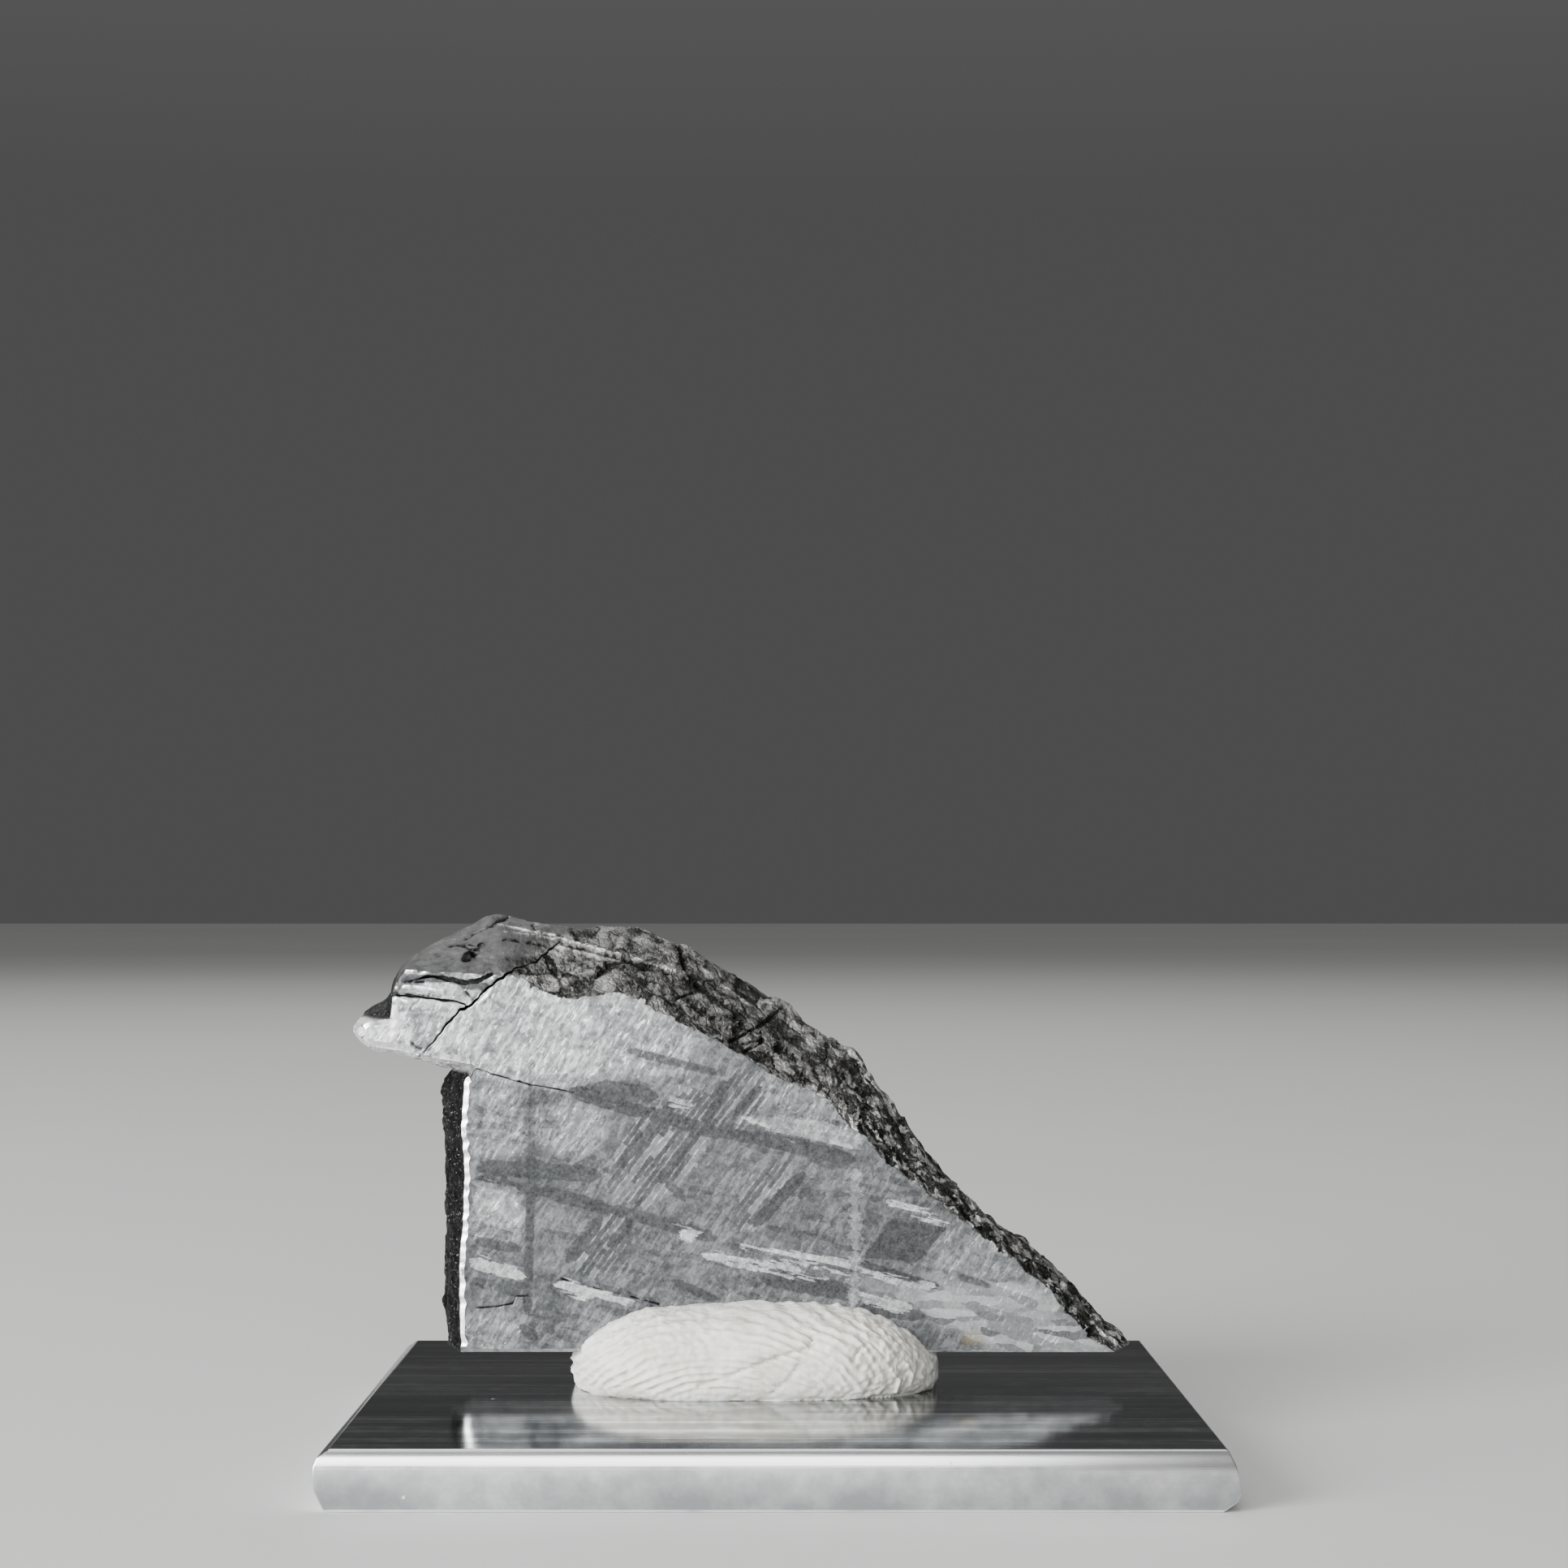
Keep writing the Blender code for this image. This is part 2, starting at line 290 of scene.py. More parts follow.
def newMaterial(name, metallic, roughness, **constants):
    material = bpy.data.materials.new(name)
    material.use_nodes = True
    tree = material.node_tree
    shader = tree.nodes["Principled BSDF"]
    shader.inputs["Metallic"].default_value = metallic
    shader.inputs["Roughness"].default_value = roughness
    for key, value in constants.items():
        shader.inputs[key].default_value = value
    return material, tree, shader


# Gives a material its colour and its fine relief, whose depth is in metres.
def dress(tree, shader, colour, relief, strength, depth):
    bump = put(tree, "ShaderNodeBump", {"Height": relief, "Strength": strength,
                                        "Distance": depth})
    tree.links.new(colour, shader.inputs["Base Color"])
    tree.links.new(bump.outputs["Normal"], shader.inputs["Normal"])


def inMillimetres(tree):
    place = put(tree, "ShaderNodeTexCoord").outputs["Object"]
    return stretch(tree, place, (1000, 1000, 1000))


# Shader groups.

number, vector = "NodeSocketFloat", "NodeSocketVector"


def newGroup(name, inputs, outputs):
    group = bpy.data.node_groups.new(name, "ShaderNodeTree")
    for label, kind, value in inputs:
        socket = group.interface.new_socket(label, in_out="INPUT", socket_type=kind)
        if value is not None:
            socket.default_value = value
    for label, kind in outputs:
        group.interface.new_socket(label, in_out="OUTPUT", socket_type=kind)
    return group, group.nodes.new("NodeGroupInput").outputs, group.nodes.new("NodeGroupOutput")


def useGroup(tree, group, inputs):
    return put(tree, "ShaderNodeGroup", inputs, node_tree=group).outputs


# A family of fine parallel lamellae: long cells, each with its own tone.
def lamellaeGroup():
    group, given, out = newGroup(
        "lamellaFamily",
        (("Position", vector, None), ("Turn", number, 0.0), ("Per mm along", number, 0.5),
         ("Per mm across", number, 4.0)),
        (("Tone", number),))
    apart = axes(group, turned(group, given["Position"], given["Turn"]))
    flat = put(group, "ShaderNodeCombineXYZ", {
        "X": times(group, apart["X"], given["Per mm along"]),
        "Y": times(group, apart["Z"], given["Per mm across"])}).outputs[0]
    cells = put(group, "ShaderNodeTexVoronoi", {"Vector": flat, "Scale": 1.0},
                voronoi_dimensions="2D").outputs
    group.links.new(redOf(group, cells["Color"]), out.inputs["Tone"])
    return group


# Parallel bars cut in lengths, each with its own tone, and thin lines between them.
def barsGroup():
    group, given, out = newGroup(
        "barFamily",
        (("Position", vector, None), ("Turn", number, 0.0), ("Per mm along", number, 0.35),
         ("Per mm across", number, 2.9)),
        (("Tone", number), ("Line", number)))
    apart = axes(group, turned(group, given["Position"], given["Turn"]))
    across = times(group, apart["Z"], given["Per mm across"])
    stripe = maths(group, "FLOOR", across)
    offset = put(group, "ShaderNodeTexWhiteNoise", {"W": stripe},
                 noise_dimensions="1D").outputs["Value"]
    along = add(group, times(group, apart["X"], given["Per mm along"]),
                times(group, offset, 7.0))
    place = put(group, "ShaderNodeCombineXYZ", {
        "X": stripe, "Y": maths(group, "FLOOR", along)}).outputs[0]
    tone = put(group, "ShaderNodeTexWhiteNoise", {"Vector": place},
               noise_dimensions="2D").outputs["Value"]
    group.links.new(tone, out.inputs["Tone"])
    middle = maths(group, "ABSOLUTE", less(group, maths(group, "FRACT", across), 0.5))
    group.links.new(smoothRange(group, middle, 0.26, 0.46), out.inputs["Line"])
    return group


# Specks of dust, with only some of the places that they could lie in taken.
def dustGroup():
    group, given, out = newGroup(
        "dustSpecks",
        (("Position", vector, None), ("Per mm", number, 1.0), ("Inner size", number, 0.03),
         ("Outer size", number, 0.07), ("Bare share", number, 0.0)),
        (("Speck", number),))
    cells = put(group, "ShaderNodeTexVoronoi",
                {"Vector": given["Position"], "Scale": given["Per mm"]}).outputs
    taken = smoothRange(group, redOf(group, cells["Color"]), given["Bare share"],
                        add(group, given["Bare share"], 0.2))
    size = smoothRange(group, cells["Distance"], given["Inner size"], given["Outer size"],
                       1.0, 0.0)
    group.links.new(times(group, size, taken), out.inputs["Speck"])
    return group


lamellaFamily = lamellaeGroup()
barFamily = barsGroup()
dustSpecks = dustGroup()


# The meteorite slice: a subdivided copy of its CAD solid, with a broken crust.

sliceShape = {
    "sharpAngle": math.radians(42),
    "smoothAngle": math.radians(34),
    "levels": 2,
    "finerDepth": 1.7,               # the crust is finer this far behind the sawn face
    # flat chips of broken crust: size in mm, height, share of it on the crest, seed
    "chips": ((1.35, 0.42, 1.0, 3.1), (0.62, 0.46, 0.7, 7.7), (0.33, 0.34, 0.7, 12.9)),
    "smallChip": 0.4,                # smaller ones are left out where the mesh is coarse
    "crestGrain": ((0.93, 0.22, -0.29), 0.62),   # direction of the chips, and their squeeze
    "slopeGrain": ((-0.40, 0.25, 0.88), 0.42),
    "slopeStart": (1.0, 4.0),        # where the crest turns into the slope
    "creviceDepth": 0.06,
    "creviceWidth": 0.09,
    # smoother crust: its right end and top, roughness, and share of that at the face's edge
    "smootherZones": (
        (-17.3, 21.7, 0.6, 0.0),     # the broken left side
        (-17.0, 26.4, 0.42, 0.10),   # the beak's tip
    ),
    "edgeShare": 0.75,
    "acrossCrack": (-0.545, 0.838),  # on this side of the first crack is a smooth facet
    "facetSmoothness": 0.9,
    "facetFoot": (25.6, 26.3),
    # the cracks' walls
    "wallDepth": 5,                  # they are shaped this far behind the sawn face
    "wallFoot": 19,                  # and above this height
    "wallKeepsOff": (0.12, 0.40),    # chips fade out this near to a crack
    "wallReach": (0.20, 0.42),
    "wallPull": 0.34,                # how far the walls are drawn together
    "pullUnevenness": 0.55,
    "endPull": 0.55,                 # how much farther at a crack's ends
    "endLength": 1.2,
    "mostPull": 0.85,
    "gapeStart": (-19.4, -18.4),
    "wallJitter": 0.07,
    "lineReach": 0.26,               # lines on the crust change it about this far from them
    # the sawn face
    "gridStep": 0.15,                # spacing of its points
    "fineStep": 0.075,               # the same round the beak and grooves
    "fineCorner": (-15.4, 21.4),     # the beak lies left of and above this
    "faceLineReach": 0.4,            # lines on the face change it no farther than this
    "leftRoll": 0.32,                # how far its left and lower arris is eased
    "otherRoll": 0.04,
    "rollUnevenness": 0.45,
}

# The cracks cut in the CAD solid, in mm across and up: their walls stay straight.
crackPaths = (
    ((-12.5, 28.5), (-13.8, 27.35), (-14.9, 27.0), (-16.5, 25.9), (-17.3, 24.9), (-17.9, 24.75),
     (-18.5, 24.1), (-19.4, 22.9), (-20.4, 22.0)),
    ((-20.8, 26.35), (-19.5, 26.62), (-18.7, 26.45), (-17.4, 26.15), (-16.7, 26.45),
     (-16.1, 26.75)),
    ((-22.2, 25.5), (-20.8, 25.5), (-18.9, 25.3), (-17.6, 25.0)),
    ((-17.3, 20.9), (-17.05, 21.4), (-16.4, 21.2), (-14.6, 20.6), (-12.7, 20.25), (-11.4, 20.0)),
)

crackGapes = (0.0, 0.60, 0.10, 0.0)      # how much less of each is drawn together, at its right

# Lines seen on the crust: picture points, half width and height in mm (grooves are below 0).
crustLines = (
    ((572, 1157), (585, 1150), (605, 1140), (626, 1130), 0.075, -0.16),
    ((553, 1166), (562, 1164), (572, 1166), (580, 1170), 0.07, -0.12),
    ((612, 1139), (650, 1147), (685, 1153), 0.08, 0.12),
    ((619, 1148), (655, 1152), (700, 1160), 0.06, 0.08),
    ((684, 1157), (725, 1167), (766, 1178), (818, 1192), (832, 1197), 0.075, 0.20),
    ((689, 1167), (731, 1178), (765, 1186), 0.07, 0.18),
    ((620, 1157), (660, 1163), (688, 1170), 0.06, -0.10),
    ((835, 1160), (843, 1192), (858, 1213), 0.09, -0.20),
    ((832, 1232), (845, 1226), (858, 1222), 0.07, -0.16),
    ((873, 1306), (905, 1301), (922, 1293), (940, 1283), 0.08, -0.30),
    ((900, 1283), (925, 1270), (945, 1258), (962, 1243), 0.08, -0.18),
    ((652, 1128), (656, 1140), (660, 1146), 0.07, -0.16),
    ((703, 1138), (706, 1148), (712, 1158), 0.07, -0.16),
    ((672, 1178), (676, 1192), (690, 1205), 0.09, -0.16),
    ((735, 1205), (750, 1190), (765, 1186), 0.08, -0.14),
    ((1040, 1385), (1062, 1420), (1080, 1450), 0.08, -0.14),
    ((1060, 1375), (1085, 1412), (1100, 1440), 0.08, -0.16),
    ((1085, 1395), (1108, 1425), (1118, 1450), 0.08, -0.14),
    ((1170, 1470), (1185, 1490), (1195, 1512), 0.08, -0.18),
    ((1182, 1462), (1200, 1490), (1210, 1510), 0.08, 0.12),
    ((574, 1181), (582, 1179), 0.19, -0.45),
    ((586, 1171), (589, 1168), 0.09, -0.16),
    ((566, 1165), (577, 1164), (585, 1165), 0.06, -0.10),
    ((700, 1166), (735, 1173), (775, 1186), (805, 1196), 0.06, -0.20),
    ((856, 1210), (846, 1196), (838, 1178), 0.10, -0.25),
    ((940, 1280), (905, 1290), (880, 1296), 0.07, -0.22),
    ((840, 1205), (870, 1222), (900, 1242), 0.08, -0.14),
    ((868, 1196), (900, 1222), (925, 1240), 0.08, 0.12),
)

# Grooves and lips on the sawn face, the same way.
faceLines = (
    ((583, 1612), (612, 1610), (632, 1606), (636, 1597), (652, 1597), 0.04, -0.10),
    ((683, 1573), (720, 1584), (775, 1597), (812, 1607), 0.05, -0.10),
    ((520, 1292), (512, 1290), (508, 1285), 0.07, -0.16),
    ((494, 1189), (501, 1194), (509, 1193), 0.26, 0.12),
    ((509, 1197), (520, 1199), (535, 1195), (548, 1198), 0.13, 0.15),
    ((548, 1192), (560, 1194), (575, 1199), (590, 1205), (606, 1206), 0.13, 0.15),
    ((596, 1208), (608, 1200), (622, 1194), 0.16, 0.14),
    ((490, 1217), (505, 1215), (525, 1219), (545, 1221), 0.13, 0.10),
    ((488, 1208), (500, 1210), (522, 1210), 0.08, -0.12),
    ((487, 1224), (505, 1226), (530, 1228), 0.06, -0.12),
    ((489, 1231), (500, 1234), (512, 1233), 0.12, 0.10),
    ((574, 1222), (584, 1232), (590, 1226), 0.06, -0.08),
    ((486, 1236), (487, 1262), (485, 1285), 0.18, 0.04),
    ((505, 1300), (530, 1304), (560, 1310), (584, 1314), 0.14, 0.08),
    ((610, 1212), (600, 1228), (590, 1236), 0.08, 0.06),
)


# Broken iron: flat chips, each tilted its own way.  Gives the height and how near the edge is.
def chipAt(place, size, grain, seed):
    along, squeeze = Vector(grain[0]).normalized(), grain[1]
    place = place + along * (place.dot(along) * (squeeze - 1))
    scaled = place / size + Vector((seed, 2 * seed, 3 * seed))
    near, sites = noise.voronoi(scaled)
    tilt = noise.cell_vector(sites[0] * 37.0) - Vector((0.5, 0.5, 0.5))
    return tilt.dot(scaled - sites[0]), near[1] - near[0]


# How high the crust stands at a place in mm, and how deep in a crevice that is.
def crustHeight(place, behind):
    slope = smoothStep(place.x, *sliceShape["slopeStart"])
    height, crevice = 0.0, 0.0
    for size, rise, onCrest, seed in sliceShape["chips"]:
        if size < sliceShape["smallChip"] and behind > sliceShape["finerDepth"] + 0.5:
            continue
        for grain, part in (("crestGrain", (1 - slope) * onCrest), ("slopeGrain", slope)):
            if part > 0:
                lift, edge = chipAt(place, size, sliceShape[grain], seed)
                height += lift * rise * part
                crevice += math.exp(-edge / sliceShape["creviceWidth"]) * part * 0.4
    return height - crevice * sliceShape["creviceDepth"], crevice


# How rough the crust is at a place in mm, and how much of that reaches the sawn face's edge.
def roughnessAt(x, z):
    for right, top, rough, share in sliceShape["smootherZones"]:
        if x < right and z < top:
            return rough, share
    (startX, startZ), (acrossX, acrossZ) = crackPaths[0][0], sliceShape["acrossCrack"]
    aboveCrack = (x - startX) * acrossX + (z - startZ) * acrossZ
    facet = smoothStep(aboveCrack, -0.15, 0.5) * smoothStep(z, *sliceShape["facetFoot"])
    return 1.0 - sliceShape["facetSmoothness"] * facet, sliceShape["edgeShare"]


# For each stretch of a line, its start and the way from there to its point nearest a place.
def nearestWays(place, line):
    for start, end in zip(line, line[1:]):
        span = end - start
        part = min(1.0, max(0.0, (place - start).dot(span) / max(span.length_squared, 1e-12)))
        yield start, span * part


def nearLine(place, line):
    return min((place - start - way).length for start, way in nearestWays(place, line))


# The nearest point of a line, and how far that is from the line's ends.
def footOn(place, line):
    feet = [start + way for start, way in nearestWays(place, line)]
    foot = min(feet, key=lambda spot: (place - spot).length)
    return foot, min((foot - line[0]).length, (foot - line[-1]).length)


# How a crack's walls are drawn together: unevenly, and most of all towards its ends.
def wallMove(flat, walls):
    (foot, toEnd), gape = min(
        ((footOn(flat, wall), gape) for wall, gape in zip(walls, crackGapes)),
        key=lambda hit: (hit[0][0] - flat).length)
    close = 1 - smoothStep((foot - flat).length, *sliceShape["wallReach"])
    if close <= 0:
        return Vector()
    pull = (sliceShape["wallPull"] + sliceShape["pullUnevenness"] * noise.noise(foot * 1.3)
            + sliceShape["endPull"] * (1 - smoothStep(toEnd, 0.0, sliceShape["endLength"])))
    pull -= gape * smoothStep(foot.x, *sliceShape["gapeStart"])
    jitter = noise.noise_vector(foot * 3.1) + noise.noise_vector(foot * 8.3) * 0.5
    jitter = Vector((jitter.x, 0, jitter.z)) * sliceShape["wallJitter"]
    return ((foot - flat) * min(sliceShape["mostPull"], max(0.0, pull)) + jitter) * close


# Breaks the crust into chips, and makes the cracks' walls uneven.
def sculptCrust(piece, faceY, baseZ):
    bm = meshToSculpt(piece)
    nearFront = [face for face in bm.faces
                 if face.calc_center_median().y < faceY + sliceShape["finerDepth"] * mm
                 and face.calc_center_median().z > baseZ + 0.1 * mm]
    edges = dict.fromkeys(edge for face in nearFront for edge in face.edges)
    bmesh.ops.subdivide_edges(bm, edges=list(edges), cuts=1, use_grid_fill=True)
    bm.normal_update()
    relief = bm.verts.layers.float.new("relief")
    hackle = bm.verts.layers.float.new("hackle")
    walls = [[Vector((x, 0, z)) for x, z in path] for path in crackPaths]
    moves = []
    for vert in bm.verts:
        place = vert.co / mm
        behind = place.y - faceY / mm
        if place.z < baseZ / mm + 0.02:
            continue
        rough, share = roughnessAt(place.x, place.z)
        vert[hackle] = rough
        fade = smoothStep(behind, 0.0, 0.5)
        strength = rough * (share + (1 - share) * fade) * smoothStep(place.z - baseZ / mm, 0, 0.5)
        byCracks = behind < sliceShape["wallDepth"] and place.z > sliceShape["wallFoot"]
        flat = Vector((place.x, 0, place.z))
        if byCracks:
            strength *= smoothStep(min(nearLine(flat, wall) for wall in walls),
                                   *sliceShape["wallKeepsOff"])
        height, crevice = crustHeight(place, behind)
        # relief, kept for the colour: painted highlight on raised chips and painted shade in
        # crevices
        vert[relief] = height * 3 - crevice
        direction = Vector((vert.normal.x, vert.normal.y * fade, vert.normal.z)).normalized()
        move = direction * (height * strength * mm)
        if byCracks:
            move += wallMove(flat, walls) * mm
        moves.append((vert, move))
    for vert, move in moves:
        vert.co += move
        vert.co.y = max(vert.co.y, faceY)
        vert.co.z = max(vert.co.z, baseZ)
    keepSculpted(bm, piece)


# Where the camera's ray through a picture point first meets a surface.
def onSurface(tree, column, row):
    start = Vector(viewpoint["place"])
    ray = (seenAt(column, row, 0.0) - start).normalized()
    return tree.ray_cast(start, ray)[0]


# A line of picture points laid on a surface, with enough points to follow it closely.
def drawnOn(tree, points, spacing=6):
    line = [points[0]]
    for (x0, y0), (x1, y1) in zip(points, points[1:]):
        parts = max(1, round(math.hypot(x1 - x0, y1 - y0) / spacing))
        line += [(x0 + (x1 - x0) * part / parts, y0 + (y1 - y0) * part / parts)
                 for part in range(1, parts + 1)]
    hits = [onSurface(tree, *point) for point in line]
    return [hit for hit in hits if hit is not None and hit.y < viewpoint["deepestLine"]]


# For each line, the points of a mesh within reach, each with its distance from it.
def besideLines(bm, lines, reach):
    tree = KDTree(len(bm.verts))
    for index, vert in enumerate(bm.verts):
        tree.insert(vert.co, index)
    tree.balance()
    bm.verts.ensure_lookup_table()
    found = []
    for line in lines:
        near = set()
        for start, end in zip(line, line[1:]):
            stops = max(1, math.ceil((end - start).length / reach))
            for stop in range(stops + 1):
                centre = start.lerp(end, stop / stops)
                near.update(index for _, index, _ in tree.find_range(centre, reach * 1.5))
        found.append([(bm.verts[index], nearLine(bm.verts[index].co, line)) for index in near])
    return found


# Carves the crust's grooves and raises its worn ridges, on a finer mesh.
def carveCrust(piece, lines):
    bm = meshToSculpt(piece)
    tree = BVHTree.FromBMesh(bm)
    drawn = [(drawnOn(tree, points), width * mm, height * mm) for *points, width, height in lines]
    drawn = [line for line in drawn if len(line[0]) > 1]
    hits = [line[0] for line in drawn]
    reach = sliceShape["lineReach"] * mm
    close = {vert for (_, width, _), beside in zip(drawn, besideLines(bm, hits, reach))
             for vert, away in beside if away < 2.6 * width}
    edges = [edge for edge in bm.edges if edge.verts[0] in close and edge.verts[1] in close]
    bmesh.ops.subdivide_edges(bm, edges=edges, cuts=1, use_grid_fill=True)
    bm.normal_update()
    relief = bm.verts.layers.float["relief"]
    worn = bm.verts.layers.float.new("worn")
    for (_, width, height), beside in zip(drawn, besideLines(bm, hits, reach)):
        for vert, away in beside:
            share = math.exp(-(away / width) ** 2)
            if height > 0:
                share *= min(1.0, max(0.0, 1.0 + 0.8 * noise.noise(vert.co / mm * 1.6)))
            if share > 0.02 and not vert.is_boundary:
                vert.co += vert.normal * (height * share)
                # the colour's relief: painted shade along the grooves and the pit, painted
                # highlight on the ridges
                vert[relief] += share * (0.6 if height > 0 else -2.2)
                if height > 0:
                    vert[worn] = max(vert[worn], share)
    keepSculpted(bm, piece)


# Where the sawn face ends in a broad bright arris: at its left, its foot and round the beak.
def hasBroadArris(x, z, foot):
    leftSide = x < -17.2 and z < 20.7
    underBeak = x < -17.45 and z < 22.75 - 0.25 * (x + 21.0)
    beakTip = x < -21.9
    return leftSide or underBeak or beakTip or z < foot


# Closes the open front: a narrow eased arris, then the flat sawn face.
def closeFace(piece, faceY, baseZ):
    bm = meshToSculpt(piece)
    rim = [edge for edge in bm.edges if edge.is_boundary]
    inward = {}
    for edge in rim:
        loop = edge.link_loops[0]
        along = loop.vert.co - loop.link_loop_next.vert.co
        side = Vector((0, -1, 0)).cross(along)
        for vert in edge.verts:
            inward[vert] = inward.get(vert, Vector()) + side.normalized()
    steps, broad = {}, set()
    foot = baseZ / mm + 0.1
    for vert, side in inward.items():
        x, _, z = vert.co / mm
        roll = sliceShape["otherRoll"]
        if hasBroadArris(x, z, foot):
            broad.add(vert)
            unevenness = sliceShape["rollUnevenness"] * noise.noise(Vector((x, 0, z)) * 2.3)
            roll = sliceShape["leftRoll"] * (1 + unevenness)
        if z < foot:
            roll *= 0.6
        steps[vert] = (side.normalized() * roll * mm, 0.45 * roll * mm)
    made = bmesh.ops.extrude_edge_only(bm, edges=rim)["geom"]
    ring = [item for item in made if isinstance(item, bmesh.types.BMEdge)]
    fresh = [item for item in made if isinstance(item, bmesh.types.BMVert)]
    homes = {}
    for vert in fresh:
        old = next(other for other in (edge.other_vert(vert) for edge in vert.link_edges)
                   if other in steps)
        homes[vert] = old.co.copy()
        vert.co = old.co + steps[old][0]
    for old, (_, back) in steps.items():
        old.co.y += back
    arris = {face for vert in fresh for face in vert.link_faces}
    for edge in ring:
        edge.smooth = False
    for face in fillFace(bm, ring, faceY, homes):
        face.material_index = 1
    for face in arris:
        face.material_index = 2 if any(vert in broad for vert in face.verts) else 1
    paintFace(bm, faceY)
    carveFace(bm, faceY)
    keepSculpted(bm, piece)


# The rim's corners and its sides, always in the same order, so that every run is alike.
def sortedRim(ring):
    pairs = sorted(sorted((tuple(vert.co), index) for index, vert in enumerate(edge.verts))
                   + [(which,)] for which, edge in enumerate(ring))
    chains = [[ring[which].verts[index] for _, index in pair] for *pair, (which,) in pairs]
    outline = list(dict.fromkeys(vert for chain in chains for vert in chain))
    order = {vert: index for index, vert in enumerate(outline)}
    return outline, [(order[first], order[last]) for first, last in chains]


# Where the rim crosses itself, its corners go back to their homes, until none does.
def untangle(outline, sides, homes):
    for attempt in range(8):
        flat = [Vector((vert.co.x / mm, vert.co.z / mm)) for vert in outline]
        places, _, _, origins, sources, _ = delaunay_2d_cdt(flat, sides, [], 1, 1e-6)
        whole = [0] * len(sides)
        for source in sources:
            for side in source:
                whole[side] += 1
        tangled = [flat[side[0]] for side, parts in zip(sides, whole) if parts != 1]
        tangled += [place for place, source in zip(places, origins) if len(source) != 1]
        if not tangled:
            break
        for vert, place in zip(outline, flat):
            if min((place - spot).length for spot in tangled) < 0.12 + 0.06 * attempt:
                vert.co.x, vert.co.z = homes[vert].x, homes[vert].z
    return flat


# Adds points over the face to those of its rim: an even grid, finer by the beak and grooves.
def spreadPoints(flat, isIron, faceY):
    edgePoints = KDTree(len(flat))
    for index, place in enumerate(flat):
        edgePoints.insert(place.to_3d(), index)
    edgePoints.balance()

    def addPoint(x, z, spacing):
        place = Vector((x, z))
        if edgePoints.find(place.to_3d())[2] > 0.6 * spacing and isIron(place):
            flat.append(place)

    step, fine = sliceShape["gridStep"], sliceShape["fineStep"]
    beakRight, beakFoot = sliceShape["fineCorner"]
    left, right = min(place.x for place in flat), max(place.x for place in flat)
    bottom, top = min(place.y for place in flat), max(place.y for place in flat)
    for i in range(1, int((right - left) / fine)):
        for k in range(1, int((top - bottom) / fine)):
            x, z = left + i * fine, bottom + k * fine
            onBeak = x < beakRight and z > beakFoot
            if onBeak or (i % 2 == 0 and k % 2 == 0):
                addPoint(x, z, fine if onBeak else step)
    for *points, width, _ in faceLines:
        line = [seenAt(*point, faceY) / mm for point in points]
        for start, end in zip(line, line[1:]):
            along = (end - start).normalized()
            stops = int((end - start).length / fine) + 1
            for stop in range(stops):
                for side in (-1.5, -0.75, 0, 0.75, 1.5):
                    place = start.lerp(end, stop / stops) + Vector((-along.z, 0, along.x)) * (
                        side * width)
                    if place.x > beakRight or place.z < beakFoot:
                        addPoint(place.x, place.z, 0.6 * fine)


# Fills the flat face with small triangles, whose corners carry the pattern.
def fillFace(bm, ring, faceY, homes):
    outline, sides = sortedRim(ring)
    flat = untangle(outline, sides, homes)
    isIron = insideTest(flat, sides)
    spreadPoints(flat, isIron, faceY)
    places, _, triangles, origins, _, _ = delaunay_2d_cdt(flat, sides, [], 1, 1e-6)
    verts, front = {}, []
    for corners in triangles:
        if not isIron(sum((places[index] for index in corners), Vector((0, 0))) / 3):
            continue
        for index in corners:
            if index not in verts:
                source = min(origins[index], default=len(outline))
                verts[index] = (outline[source] if source < len(outline) else bm.verts.new(
                    (places[index].x * mm, faceY, places[index].y * mm)))
        front.append(bm.faces.new([verts[index] for index in corners]))
    bm.normal_update()
    for face in front:
        if face.normal.y > 0:
            face.normal_flip()
    print("stage: sawn face,", len(front), "faces, open edges:",
          sum(edge.is_boundary for edge in bm.edges))
    return front


# A test for whether a point lies inside closed outlines, by counting crossings along its row.
def insideTest(points, sides):
    rows = {}
    for first, second in sides:
        low, high = sorted((points[first].y, points[second].y))
        for row in range(math.floor(low * 10), math.floor(high * 10) + 1):
            rows.setdefault(row, []).append((points[first], points[second]))

    def isInside(place):
        inside = False
        for first, second in rows.get(math.floor(place.y * 10), ()):
            if (first.y > place.y) != (second.y > place.y):
                share = (place.y - first.y) / (second.y - first.y)
                if first.x + share * (second.x - first.x) > place.x:
                    inside = not inside
        return inside

    return isInside


# Presses the grooves into the sawn face and lifts its lips.
def carveFace(bm, faceY):
    groove = bm.verts.layers.float.new("groove")
    inner = [vert for vert in bm.verts
             if abs(vert.co.y - faceY) < 1e-7
             and all(face.material_index == 1 for face in vert.link_faces)]
    reach = sliceShape["faceLineReach"] * mm
    for *points, width, height in faceLines:
        line = [seenAt(*point, faceY) for point in points]
        low = [min(point[axis] for point in line) - reach for axis in range(3)]
        high = [max(point[axis] for point in line) + reach for axis in range(3)]
        for vert in inner:
            if low[0] < vert.co.x < high[0] and low[2] < vert.co.z < high[2]:
                away = nearLine(Vector((vert.co.x, faceY, vert.co.z)), line) / mm
                share = math.exp(-(away / width) ** 2)
                if share > 0.02:
                    patchy = noise.noise(vert.co / mm * 1.9) + 0.4 * noise.noise(vert.co / mm * 5)
                    share *= min(1.0, max(0.0, 0.62 + 1.1 * patchy))
                    vert.co.y -= height * share * mm
                    vert[groove] += math.copysign(share, height)


